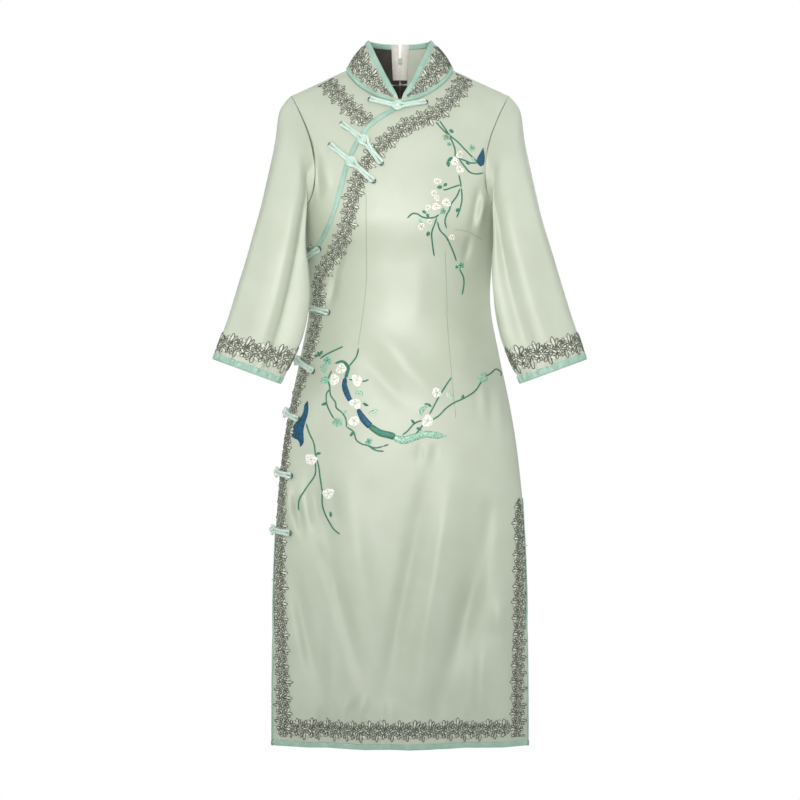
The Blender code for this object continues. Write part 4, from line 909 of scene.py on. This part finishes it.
def cut_piece(name, rows, flat, area, closed=False, seams=(), inside=LINING, shaded_above=1.0):
    """A cut piece of satin, with its edges rolled in at the seams, its thickness and its lining."""
    dents = [(j, i, outward(rows, j, i, closed)) for where in seams for j, i in edge_places(rows, where)[0]]
    shaped = [[p.copy() for p in row] for row in rows]
    for j, i, out in dents:
        shaped[j][i] -= out * SEAM_ROLL
    bm = drawing()
    columns, count = (len(rows[0]) if closed else len(rows[0]) - 1), len(rows) - 1

    def place(u, v):
        return shaped[round(v * count)][round(u * columns) % len(rows[0])]

    surface(bm, columns, count, place, closed=closed)
    # The Solidify below gives the inner face the next material, so a part with painted shade inside has a pair
    # of its own
    for face in bm.faces:
        middle = face.calc_center_median()
        face.material_index = 2 if middle.z > shaded_above and abs(middle.x) < NECK_SHADE_HALF else 0
    made = show(name, bm, [SATIN, inside, SATIN, NECK_SHADE], [name.replace("_satin", "")])
    wall = made.modifiers.new("cloth", "SOLIDIFY")
    wall.thickness = SATIN_THICK
    wall.offset = -1
    wall.material_offset = 1
    wall.material_offset_rim = 0
    return made


front, chest = main_front_rows(), chest_rows()
back = {side: back_rows(side) for side in (1, -1)}
NAMES = {1: "left", -1: "right"}


def column(rows, i):
    return [row[i] for row in rows]


inner_edges = {1: (column(front, 0), column(back[1], -1)), -1: (column(chest, -1), column(back[-1], 0))}
outer_edges = {1: (column(front, -1), column(back[1], 0)), -1: (column(chest, 0), column(back[-1], -1))}
sleeves, collars = {}, {}
for side in (1, -1):
    front_neck, back_neck = (line[-NECK_ROWS - 1 :] for line in inner_edges[side])
    front_arm, back_arm = (line[-ARMHOLE_ROWS - 1 :] for line in outer_edges[side])
    sleeves[side] = sleeve_rows(side, front_arm, back_arm)
    collars[side] = collar_rows(front_neck + back_neck[-2::-1], side)

# The areas were read off these same meshes, and four of the five flat sizes were then changed with them in
# sight, so a check of area against them proves nothing
cloth = [
    cut_piece("main_front_satin", front, (0.47, 1.16), 0.452, seams=("top", "right")),
    cut_piece("chest_panel_satin", chest, (0.19, 0.31), 0.028, seams=("top", "left")),
]
for side in (1, -1):
    name = NAMES[side]
    sewn = {"seams": ("top", "left", "right"), "shaded_above": NECK_SHADE_Z}
    cloth.append(cut_piece(f"back_{name}_satin", back[side], (0.24, 1.15), 0.238, **sewn))
    cut_piece(f"sleeve_{name}_satin", sleeves[side], (0.34, 0.50), 0.129, closed=True, seams=("top",))
    inside = NECK_SHADE if side < 0 else LINING  # only the wearer's right half has the painted shade inside, as that inner wall lies in shadow
    cut_piece(f"collar_{name}_satin", collars[side], (0.21, 0.11), 0.0142, seams=("bottom",), inside=inside)


points, faces = [], []
for made in cloth:
    start = len(points)
    points += [v.co.copy() for v in made.data.vertices]
    faces += [[start + k for k in p.vertices] for p in made.data.polygons]
body_tree = BVHTree.FromPolygons(points, faces)


def lay(point, normal, reach=0.03):
    """The place on the body's cloth under a point."""
    hit = body_tree.ray_cast(point + normal * reach, -normal, 2 * reach)[0]
    return point if hit is None else hit


# ------------------------------------------------------------------ bindings and piping
# Cross-sections: share of the width into the piece, and height over the cloth in millimetres
WRAPPED = [
    (0.97, 0.1), (1.0, 0.6), (0.95, 1.3), (0.75, 1.6), (0.45, 1.7), (0.18, 1.5), (0.02, 1.0), (-0.05, 0.2),
    (-0.05, -0.9), (0.05, -1.7), (0.35, -2.1), (0.8, -2.0), (1.0, -1.5), (0.97, -0.9),
]
PIPED = [(0.05, -0.2), (0.04, 1.0), (0.2, 1.9), (0.5, 2.2), (0.8, 1.9), (0.96, 1.1), (1.0, 0.1)]
RIPPLE, WANDER = (0.12, 220), (0.03, 90)  # of a binding's height and width: share, and waves to a metre
NARROWEST = 0.42  # a collar's trim takes at most this share of its height


def band(node, frames, profile, width, most=None, name=None):
    """A strip of bias satin along a cut edge, with the slight ripple of its stitching."""
    bm = drawing()
    count = len(frames) - 1

    def place(u, v):
        k = round(v * count)
        point, into, out = frames[k]
        share, high = profile[round(u * (len(profile) - 1))]
        wide = width if most is None else min(width, most[k])
        ripple, wander = (1 + much * noise.noise(point * waves) for much, waves in (RIPPLE, WANDER))
        return point + into * share * wide * wander + out * high * MM * ripple

    surface(bm, len(profile) - 1, count, place)
    return show(f"{name or node}_bias", bm, [MINT], [node])


for side in (1, -1):
    name = NAMES[side]
    rows = collars[side]
    height = [(high - low).length * NARROWEST for low, high in zip(rows[0], rows[-1])]
    band(f"collar_binding_{name}", edge_frames(rows, "top"), WRAPPED, BINDING_WIDTH, height)
    band(f"neck_piping_{name}", edge_frames(rows, "bottom"), PIPED, PIPING_WIDTH, height)
    cuff = edge_frames(sleeves[side], "bottom", closed=True)
    band(f"cuff_binding_{name}", cuff, WRAPPED, CUFF_BINDING_WIDTH)
    band(f"hem_binding_back_{name}", edge_frames(back[side], "bottom"), WRAPPED, BINDING_WIDTH)
    slit = slice(2, round(SKIRT_ROWS * (SLIT_TOP[side] - HEM_Z) / (LAPEL_END_Z - HEM_Z)) + 1)
    outer, inner = ("right", "left") if side > 0 else ("left", "right")
    for part, edge in (("front", edge_frames(front, outer)), ("back", edge_frames(back[side], inner))):
        band(f"slit_binding_{part}_{name}", edge[slit], WRAPPED, SLIT_BINDING_WIDTH)
band("hem_binding_front", edge_frames(front, "bottom"), WRAPPED, BINDING_WIDTH)
lapel = edge_frames(front, "left")[SKIRT_ROWS : SKIRT_ROWS + LAPEL_ROWS + 1]
band("lapel_piping", lapel, WRAPPED, BINDING_WIDTH, name="lapel_binding")


# ------------------------------------------------------------------ lace
# The lace's finishes: the net, partly painted shade of its gaps, then pale and middling cords, and the dark
# edge cords that paint the shadows round the petals
NET_AND_GAP_SHADE_GROUND, PALE, MIDDLING, SHADOW_EDGE = range(4)
Palm = namedtuple("Palm", "x y angle length width fill edge")
# The petals of a repeat's two palmettes. x is a share of the repeat, and y, length and width are shares of
# the tape's width
PALMETTES = table(
    Palm,
    (0.50, 0.04, 90, 0.50, 0.15, PALE, SHADOW_EDGE), (0.50, 0.05, 64, 0.43, 0.13, MIDDLING, SHADOW_EDGE),
    (0.50, 0.05, 117, 0.44, 0.13, PALE, MIDDLING), (0.50, 0.05, 37, 0.36, 0.12, PALE, SHADOW_EDGE),
    (0.50, 0.05, 145, 0.38, 0.12, MIDDLING, SHADOW_EDGE), (0.02, -0.05, -92, 0.48, 0.15, MIDDLING, SHADOW_EDGE),
    (0.02, -0.05, -63, 0.40, 0.13, PALE, MIDDLING), (0.02, -0.05, -119, 0.42, 0.13, MIDDLING, SHADOW_EDGE),
    (0.02, -0.05, -34, 0.34, 0.12, MIDDLING, SHADOW_EDGE), (0.02, -0.05, -148, 0.36, 0.12, PALE, MIDDLING),
    (0.02, 0.12, 76, 0.29, 0.12, PALE, SHADOW_EDGE), (0.02, 0.12, 112, 0.23, 0.10, MIDDLING, SHADOW_EDGE),
    (0.50, -0.13, -105, 0.28, 0.12, PALE, SHADOW_EDGE), (0.50, -0.13, -70, 0.22, 0.10, MIDDLING, SHADOW_EDGE),
)
LaceBlossom = namedtuple("LaceBlossom", "x y size first")
LACE_BLOSSOMS = table(LaceBlossom, (0.24, 0.03, 0.22, 10), (0.76, -0.03, 0.21, 40))
LACE_PETALS = 6
# Radii of the cords, and how high each layer lies over the tape's back
PETAL_CORD, BLOSSOM_CORD, EYELET_CORD, EYELET_R = 0.65 * MM, 0.5 * MM, 0.6 * MM, 1.0 * MM
NET_Z, PETAL_Z, BLOSSOM_Z, EYELET_Z = 0.15 * MM, 0.3 * MM, 0.6 * MM, 1.2 * MM
# How hand-laid cords waver along the tape, and how uneven their tips are across it
COURSE, TIPS = 1.2 * MM, 0.30


def lace_repeat(bm, long, wide, ground):
    """One repeat of the lace, drawn flat: a palmette up, one down, and two blossoms, each with an eyelet."""

    def net_place(u, v):
        scallop = 0.85 + 0.15 * math.cos(4 * math.pi * u)
        return Vector((long * u, wide * ground / 2 * (2 * v - 1) * scallop, NET_Z))

    surface(bm, 8, 2, net_place, finish=NET_AND_GAP_SHADE_GROUND)
    for palm in PALMETTES:
        base = Vector((palm.x * long, palm.y * wide, PETAL_Z))
        length, width = palm.length * wide, palm.width * wide
        corded_petal(bm, base, palm.angle, length, width, PETAL_CORD, palm.fill, palm.edge)
    for blossom in LACE_BLOSSOMS:
        centre = Vector((blossom.x * long, blossom.y * wide, BLOSSOM_Z))
        size = blossom.size * wide, 0.12 * wide, BLOSSOM_CORD
        for k in range(LACE_PETALS):
            angle = blossom.first + 360 * k / LACE_PETALS
            start = centre + turned(angle) @ Vector((1.2 * EYELET_R, 0, 0))
            corded_petal(bm, start, angle, *size, PALE if k % 2 else MIDDLING, SHADOW_EDGE, steps=9)
        centre.z = EYELET_Z
        ring(bm, centre, EYELET_R, EYELET_CORD, PALE)


def lace_tape(node, length, place, wide=LACE_WIDTH, ground=0.50, pointed=False):
    """Lace of whole repeats along a length, each point of it laid by place(along, across, height).

    ground is the net's share of the width, and a pointed tape narrows towards its end.
    """
    count = max(round(length / LACE_REPEAT), 1)
    long = length / count
    bm = drawing()
    lace_repeat(bm, long, wide, ground)
    first = list(bm.verts) + list(bm.edges) + list(bm.faces)
    for k in range(1, count):
        copy = bmesh.ops.duplicate(bm, geom=first)["geom"]
        moved = [v for v in copy if isinstance(v, bmesh.types.BMVert)]
        bmesh.ops.translate(bm, vec=(k * long, 0, 0), verts=moved)
    for v in bm.verts:
        v.co.x += COURSE * noise.noise((v.co.x * 90, v.co.y * 90, 3.0))
        v.co.y *= 1 + TIPS * noise.noise((v.co.x * 60, v.co.y * 30, 7.0))
        if pointed:
            v.co.y *= min(0.4 + (length - v.co.x) / (1.4 * wide), 1.0)
    settle(bm, place)
    return show(f"{node}_cord", bm, [NET_AND_GAP_SHADE, PALE_CORD, MID_CORD, SHADOW_EDGE_CORD], [node])


def on_line(points, normals):
    """place(along, across, height) for a tape along a line of points on the cloth; across is to its left."""
    length = length_of(points)
    sideways = [normals[k].cross(heading(points, k)).normalized() for k in range(len(points))]

    def place(along, across, high):
        k, f = cell(along / length, len(points) - 1)
        point, normal, aside = (line[k].lerp(line[k + 1], f) for line in (points, normals, sideways))
        normal.normalize()
        return lay(point + aside.normalized() * across, normal) + normal * high

    return length, place


def body_line(line, face, step=2 * MM):
    """Evenly spaced points of the front or back along a line of (x, z), and the outward direction at each."""
    rough = [body_point(x, z, face) for x, z in line]
    count = round(length_of(rough) / step)
    points = evenly(rough, count, fine=4 * count)
    return points, [body_normal(p.x, p.z, face) for p in points]


def side_line(side, top_z, bottom_z, rows):
    heights = [top_z + (bottom_z - top_z) * k / rows for k in range(rows + 1)]
    return [from_side(z, LACE_INSET, side, -1) for z in heights]


def body_tape(node, line, face=-1, pointed=False):
    return lace_tape(node, *on_line(*body_line(line, face)), pointed=pointed)


# The hem's tape ends just short of the middle of the side tapes, which run down into it
hem_lace_z = HEM_Z + HEM_LACE_UP
corner_z = hem_lace_z - LACE_WIDTH * 0.45
hem_lace_end = from_side(hem_lace_z, LACE_INSET, 1, -1)[0] - LACE_WIDTH * 0.38
body_tape("main_lace", LACE_FRONT + side_line(-1, LACE_SIDE_START_Z, corner_z, 16))
body_tape("hem_lace", [(hem_lace_end * (k / 4 - 1), hem_lace_z) for k in range(9)])
body_tape("slit_lace_left", side_line(1, corner_z, SLIT_TOP[1], 8), pointed=True)
body_tape("chest_lace", LACE_CHEST)
for side in (1, -1):
    body_tape(f"back_neck_lace_{NAMES[side]}", [(side * x, z) for x, z in LACE_BACK][::-side], 1)


def grid_place(rows, columns, low, high, closed, wide=LACE_WIDTH):
    """place(along, across, height) for a tape over rows of points, from its low to its high share of them."""
    last_row, around = len(rows) - 1, len(rows[0])
    middle = rows[round((low[0] + high[0]) / 2 * last_row)]
    length = length_of([middle[i % around] for i in columns])

    def at(j, i):
        return rows[min(max(j, 0), last_row)][columns[i] % around]

    def place(along, across, tall):
        i, f = cell(along / length, len(columns) - 1)
        up = across / wide + 0.5
        bottom = low[i] + (low[i + 1] - low[i]) * f
        top = high[i] + (high[i + 1] - high[i]) * f
        v = (bottom + (top - bottom) * up) * last_row
        j = min(max(int(v), 0), last_row - 1)
        point = at(j, i).lerp(at(j, i + 1), f).lerp(at(j + 1, i).lerp(at(j + 1, i + 1), f), v - j)
        return point + outward(rows, j, columns[i] % around, closed) * tall

    return length, place


COLLAR_LACE_FROM = 0.021  # the lace starts where the collar is this high
for side in (1, -1):
    name = NAMES[side]
    rows = sleeves[side]
    columns = list(range(len(rows[0]) + 1))
    tall = [length_of([row[i % len(rows[0])] for row in rows]) for i in columns]
    low = [(CUFF_LACE_UP - CUFF_LACE_WIDTH / 2) / each for each in tall]
    high = [(CUFF_LACE_UP + CUFF_LACE_WIDTH / 2) / each for each in tall]
    laid = grid_place(rows, columns, low, high, True, CUFF_LACE_WIDTH)
    lace_tape(f"cuff_lace_{name}", *laid, CUFF_LACE_WIDTH)

    rows = collars[side]
    tall = [(b - a).length for a, b in zip(rows[0], rows[-1])]
    columns = [i for i in range(len(rows[0])) if tall[i] > COLLAR_LACE_FROM]
    low = [min(PIPING_WIDTH, NARROWEST * tall[i]) / tall[i] for i in columns]
    high = [1 - min(BINDING_WIDTH, NARROWEST * tall[i]) / tall[i] for i in columns]
    lace_tape(f"collar_lace_{name}", *grid_place(rows, columns, low, high, False), ground=1.0)


# ------------------------------------------------------------------ frogs
# Half a frog: how far along the arm a place is, as a share of it, and how far its two cords spread there, in
# radii of the cord
ARM = [(1.03, 0.25), (1.0, 1.1), (0.93, 1.25), (0.82, 1.0), (0.6, 0.9), (0.4, 0.9), (0.2, 1.0)]
# From there the loop's cords go round the knot, and the knot's own end under it. Here the first number is in
# radii of the knot
ROUND_KNOT = [(0.9, 2.1), (0.0, 2.8), (-1.0, 2.0), (-1.4, 0.5)]
UNDER_KNOT = [(1.2, 1.0), (0.4, 0.9)]
KNOT_CORE, KNOT_LOOP, KNOT_CORD = 0.8 * FROG_KNOT_R, 0.74 * FROG_KNOT_R, 0.85 * FROG_CORD_R
KNOT_CENTRE = Vector((0, 0, FROG_KNOT_R))


def frog_drawing():
    """A fastened frog drawn flat along X: two doubled cords with folded ends, a knot and a loop round it."""
    bm = drawing()
    satin, cap = 0, 1
    for way in (-1, 1):
        line = [(FROG_ARM * share, spread) for share, spread in ARM]
        line += [(FROG_KNOT_R * share, spread) for share, spread in (ROUND_KNOT if way > 0 else UNDER_KNOT)]
        for row in (-1, 1):
            points = []
            for x, spread in line:
                lift = FROG_CORD_R + (FROG_KNOT_R * 0.5 if abs(x) < FROG_KNOT_R * 1.5 else 0.0)
                points.append((way * x, row * FROG_CORD_R * spread, lift))
            tube(bm, evenly(points, 30), FROG_CORD_R, sides=8, finish=satin)
        # The dark tip on the end of each arm
        tip = [(way * FROG_ARM * 0.99, 1.7), (way * (FROG_ARM + FROG_CORD_R * 1.5), 0.9)]
        tip += [(x, -y) for x, y in tip[::-1]]
        points = [(x, y * FROG_CORD_R, 0.4 * FROG_CORD_R) for x, y in tip]
        tube(bm, evenly(points, 12), 0.45 * FROG_CORD_R, sides=6, finish=cap)
    core = bmesh.ops.create_uvsphere(bm, u_segments=14, v_segments=9, radius=KNOT_CORE)["verts"]
    bmesh.ops.translate(bm, vec=KNOT_CENTRE, verts=core)
    for tilt in (0, 60, 120):
        turn = turned(tilt) @ Matrix.Rotation(math.radians(62), 3, "X")
        steps = [2 * math.pi * k / 24 for k in range(25)]
        ring_of = [turn @ Vector((math.cos(a), math.sin(a), 0)) for a in steps]
        knot_strand(bm, [point * KNOT_LOOP + KNOT_CENTRE for point in ring_of])
    return bm


def knot_strand(bm, loop):
    """One strand of the knot, a closed loop of cord round the knot's centre."""
    count = len(loop) - 1

    def at(k):
        k %= count
        along = (loop[(k + 1) % count] - loop[k - 1]).normalized()
        out = (loop[k] - KNOT_CENTRE).normalized()
        return loop[k], along.cross(out) * KNOT_CORD, out * KNOT_CORD

    cord(bm, 8, count, at)


def fasten(name, place_on_body):
    """Lays a frog on the trim, by the (x, z, face) of its places from the knot's end, -1, to the loop's."""
    count = 40
    spots = [place_on_body(2 * k / count - 1) for k in range(count + 1)]
    points = [body_point(*spot) for spot in spots]
    normals = [body_normal(*spot) for spot in spots]
    for _ in range(6):
        padded = [normals[0], *normals, normals[-1]]
        normals = [(a + b + c).normalized() for a, b, c in zip(padded, normals, padded[2:])]
    length, place = on_line(points, normals)
    bm = frog_drawing()

    def put(x, y, z):
        along = (x + FROG_ARM) / (2 * FROG_ARM) * length
        beyond = min(along, 0.0) + max(along - length, 0.0)
        spot = place(along, y, z + FROG_LIFT)
        if beyond:
            ends = (points[0] - points[1]) if beyond < 0 else (points[-1] - points[-2])
            spot += ends.normalized() * abs(beyond)
        return spot

    settle(bm, put)
    nodes = [f"frog_{name}_knot", f"frog_{name}_loop"]
    show(f"frog_{name}_cord", bm, [FROG_SATIN, FROG_DARK_TIP], nodes)


for spec in FRONT_FROGS:

    def along_its_arms(reach):
        turn = math.radians(spec.loop_side if reach > 0 else spec.knot_side)
        reach = abs(reach) * FROG_ARM
        return spec.x + math.cos(turn) * reach, spec.z + math.sin(turn) * reach, -1

    fasten(spec.name, along_its_arms)
for spec in SIDE_FROGS:

    def across_the_side(reach):
        face = -1 if reach > 0 else 1
        return *from_side(spec.z + spec.rise * reach, FROG_ARM * abs(reach), -1, face), face

    fasten(spec.name, across_the_side)


# ------------------------------------------------------------------ embroidery and darts
def on_front(x, z, high):
    """Lays a flat drawing of (x, z) places on the front."""
    hit, normal, _, _ = body_tree.ray_cast(Vector((x, -1.0, z)), Vector((0, 1, 0)))
    return hit + (normal if normal.y < 0 else -normal) * high


# Radii of the raised lines of stitches, and how flat most of them lie
STEM_R, FAN_R, VEIN_R, DART_R, FLATTENED = 1.35 * MM, 1.15 * MM, 0.35 * MM, 0.5 * MM, 0.6
PETALS = 5


def stitch(name, draw, materials):
    bm = drawing()
    draw(bm)
    settle(bm, on_front)
    return show(name, bm, materials, ())


def flat_line(line, step=3 * MM):
    points = [Vector((x, z, 0.0)) for x, z in line]
    return evenly(points, max(round(length_of(points) / step), 3))


def drawn_line(line):
    return flat_line([(x * MM, z * MM) for x, z in line])


def leaf_between(bm, edges, finish):
    """A satin-stitched leaf that fills the space between its two edges, with a raised middle."""

    def place(u, up):
        v = 1 - up
        lx, lz, rx, rz = through(edges, v)
        high = 0.3 + 1.1 * math.sin(math.pi * u) * math.sin(math.pi * v)
        return Vector((lx + (rx - lx) * u, lz + (rz - lz) * u, high)) * MM

    surface(bm, 8, 18, place, finish=finish)


def draw_branches(bm):
    threads = {"green": 0, "navy": 1, "speckled": 2}
    for line in GREEN_STEMS:
        tube(bm, drawn_line(line), STEM_R, 6, FLATTENED)
    for limb in LIMBS:
        half = limb.width / 2 * MM
        tube(bm, drawn_line(limb.line), half, 10, 0.24, threads[limb.thread], limb.shares)
    for edges in NAVY_LEAVES:
        leaf_between(bm, edges, threads["navy"])
    for finish, leaves in ((0, GREEN_LEAVES), (3, PALE_LEAVES)):
        for leaf in leaves:
            base = Vector((leaf.x * MM, leaf.z * MM, 0.2 * MM))
            petal(bm, base, leaf.angle, leaf.length * MM, leaf.width * MM, 1.1 * MM, finish, (6, 8))


def draw_blossom(bm, blossom, turn, finish, line, heart):
    """A stitched blossom with a knotted heart and a ring of fine stamens."""
    centre = Vector((blossom.x * MM, blossom.z * MM, 0.4 * MM))
    size = blossom.radius * MM
    for k in range(PETALS):
        angle = 360 / PETALS * k + turn
        uneven = 0.92 + 0.13 * math.sin(2.7 * k + turn)
        petal(bm, centre, angle, size * uneven, size * 4.7 / PETALS, 1.2 * MM, finish, (4, 7), 1.5)
        # A line of paler or darker thread down the middle of each petal
        tip = centre + turned(angle) @ Vector((size * 0.8, 0, 1.3 * MM))
        middle = centre + Vector((0, 0, 1.3 * MM))
        tube(bm, [middle.lerp(tip, share / 3) for share in range(4)], VEIN_R, sides=4, finish=line)
    for dot in range(PETALS + 1):
        a = 2 * math.pi * dot / PETALS + math.radians(turn)
        reach = size * 0.55 if dot < PETALS else 0.0
        ball = bmesh.ops.create_icosphere(bm, subdivisions=1, radius=(0.8 if reach else 1.2) * MM)["verts"]
        for v in ball:
            v.co += centre + Vector((reach * math.cos(a), reach * math.sin(a), 1.3 * MM))
        for face in {face for v in ball for face in v.link_faces}:
            face.material_index = heart


def draw_fan(bm, fan, turn):
    """A half-round blossom seen from the side, stitched in arcs of two threads by turns."""
    for k in range(4):
        reach = fan.radius * (1 - 0.24 * k) * MM
        centre = Vector((fan.x * MM, fan.z * MM, (0.5 + 0.2 * k) * MM))
        angles = [math.radians(turn + 190 * step / 10) for step in range(11)]
        arc = [centre + Vector((math.cos(a), math.sin(a), 0)) * reach for a in angles]
        tube(bm, arc, FAN_R, 6, FLATTENED, 1 + k % 2)


def draw_blossoms(bm):
    white, pale, mint, gold, green = range(5)
    for k, blossom in enumerate(WHITE_BLOSSOMS):
        draw_blossom(bm, blossom, 31 * k, white, pale if k % 3 else mint, gold)
    for k, blossom in enumerate(PALE_BLOSSOMS):
        draw_blossom(bm, blossom, 47 * k, mint, green if k % 3 else white, gold if k % 2 else green)
    for k, fan in enumerate(FANS):
        draw_fan(bm, fan, 70 * k - 20)


# Each dart is a fine tube of thread whose darker colour paints the shade of the dart's groove
def draw_darts(bm):
    for line in DARTS:
        tube(bm, flat_line(line), DART_R, 6, FLATTENED)


stitch("embroidery_branches", draw_branches, [GREEN_FLOSS, NAVY_FLOSS, SPECKLED_FLOSS, MINT_FLOSS])
stitch("embroidery_blossoms", draw_blossoms, [WHITE_FLOSS, PALE_FLOSS, MINT_FLOSS, GOLD_FLOSS, GREEN_FLOSS])
stitch("dart_seams", draw_darts, [DART_GROOVE_SHADE])


# ------------------------------------------------------------------ zip
# Cross-section of a zip tape, given as WRAPPED is, and a tooth of the coil in millimetres: in, up and out
TAPE_SECTION = [(0.02, -2.3), (0.02, -1.9), (1.0, -1.9), (1.0, -2.3), (0.02, -2.3)]
TOOTH = (2.4, 0.8, 0.9)


def zip_side(side):
    """One tape behind the centre back edge, with its row of coil teeth."""
    where = "right" if side > 0 else "left"
    first = round(SKIRT_ROWS * (ZIP_END_Z - HEM_Z) / (LAPEL_END_Z - HEM_Z))
    frames = edge_frames(back[side], where)[first : SKIRT_ROWS + LAPEL_ROWS + 1]
    frames += edge_frames(collars[side], where)[1:]
    bm = drawing()
    count = len(frames) - 1

    def place(u, v):
        point, into, out = frames[round(v * count)]
        share, high = TAPE_SECTION[round(u * 4)]
        return point + into * share * ZIP_TAPE_WIDTH + out * high * MM

    surface(bm, 4, count, place)
    # Below the collar the tape is painted dark, as the shade inside the back neck
    for face in bm.faces:
        if NECK_SHADE_Z < face.calc_center_median().z < NECK_SHADE_TOP_Z:
            face.material_index = 1
    node = f"zip_tape_{NAMES[side]}"
    show(f"{node}_weave", bm, [ZIP_TAPE, NECK_SHADE], [node])

    points = [point for point, _, _ in frames]
    teeth = round(length_of(points) / ZIP_TOOTH)
    steps = evenly(points, teeth, fine=2 * teeth)
    bm = drawing()
    for k, spot in enumerate(steps[1:-1]):
        _, into, out = frames[min(round(k / teeth * count), count)]
        up = out.cross(into).normalized()
        for v in bmesh.ops.create_cube(bm, size=1.0)["verts"]:
            x, y, z = (c * size * MM for c, size in zip(v.co, TOOTH))
            v.co = spot + into * (x + 0.5 * MM) + up * y + out * (z - 1.5 * MM)
    show(f"zip_teeth_{NAMES[side]}", bm, [ZIP_COIL], ())


for side in (1, -1):
    zip_side(side)
for name in ("zip_slider", "zip_pull_tab"):
    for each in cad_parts[name].material_slots:
        each.material = ZIP_PAINT


# ------------------------------------------------------------------ floor, light and camera
FLOOR_Z, FLOOR_RADIUS = -1.50, 1.6
# How far off the camera is, how wide a view it has at the dress, how high it looks from, and its sensor in mm
CAMERA_AWAY, VIEW_WIDE, VIEW_Z, SENSOR = 5.0, 1.352, -0.558, 36.0


def lamp(name, place, aim, size, power, colour="#ffffff", spread=180):
    light = bpy.data.lights.new(name, "AREA")
    light.shape = "DISK"
    light.size = size
    light.energy = power
    light.color = linear(colour)[:3]
    light.spread = math.radians(spread)
    made = put_in_scene(name, light)
    made.location = place
    made.rotation_mode = "QUATERNION"
    made.rotation_quaternion = (Vector(aim) - Vector(place)).to_track_quat("-Z", "Y")
    made.visible_camera = False


def studio():
    """A white room: plain white to the camera, and as light softer, and darker towards the floor."""
    world = bpy.data.worlds.new("white_room")
    bpy.context.scene.world = world
    world.use_nodes = True
    tree = world.node_tree
    tree.nodes.clear()
    toward = add(tree, "ShaderNodeTexCoord", {})["Generated"]
    height = add(tree, "ShaderNodeSeparateXYZ", {"Vector": toward})["Z"]
    heights = {"Value": height, "From Min": -1.0, "From Max": 1.0, "To Min": 0.19, "To Max": 0.65}
    soft = add(tree, "ShaderNodeMapRange", heights)["Result"]
    seen = add(tree, "ShaderNodeLightPath", {})["Is Camera Ray"]
    strength = add(tree, "ShaderNodeMix", {0: seen, 2: soft, 3: 1.0})[0]
    room = add(tree, "ShaderNodeBackground", {"Color": (1, 1, 1, 1), "Strength": strength})["Background"]
    add(tree, "ShaderNodeOutputWorld", {"Surface": room})


# The floor is rolled with matt paint, which mirrors nothing and keeps the light on it even
paint = bpy.data.materials.new("pale_matt_paint")
paint.use_nodes = True
shader = paint.node_tree.nodes["Principled BSDF"]
shader.inputs["Base Color"].default_value = linear("#f2f2f0")
shader.inputs["Roughness"].default_value = 0.9
bm = bmesh.new()
bmesh.ops.create_circle(bm, cap_ends=True, segments=96, radius=FLOOR_RADIUS)
bmesh.ops.translate(bm, vec=(0, 0, FLOOR_Z), verts=bm.verts)
meshed("studio_floor", bm, [paint])

studio()
lamp("key", (-0.20, -2.0, -0.22), (-0.02, 0, -0.30), 1.4, 4.4, "#fffaf9", 52)
lamp("left_window", (-2.2, -0.50, 0.8), (0, 0, -0.4), 1.8, 12)
lamp("right_window", (2.2, -0.50, 0.8), (0, 0, -0.4), 1.8, 14)
lamp("back", (0.6, 2.4, 0.5), (0, 0, -0.55), 1.6, 18)

camera = put_in_scene("camera", bpy.data.cameras.new("camera"))
camera.location = (0, -CAMERA_AWAY, VIEW_Z)
camera.rotation_euler = (math.pi / 2, 0, 0)
camera.data.sensor_width = SENSOR
camera.data.lens = SENSOR * CAMERA_AWAY / VIEW_WIDE
bpy.context.scene.camera = camera
bpy.context.scene.view_settings.view_transform = "Standard"
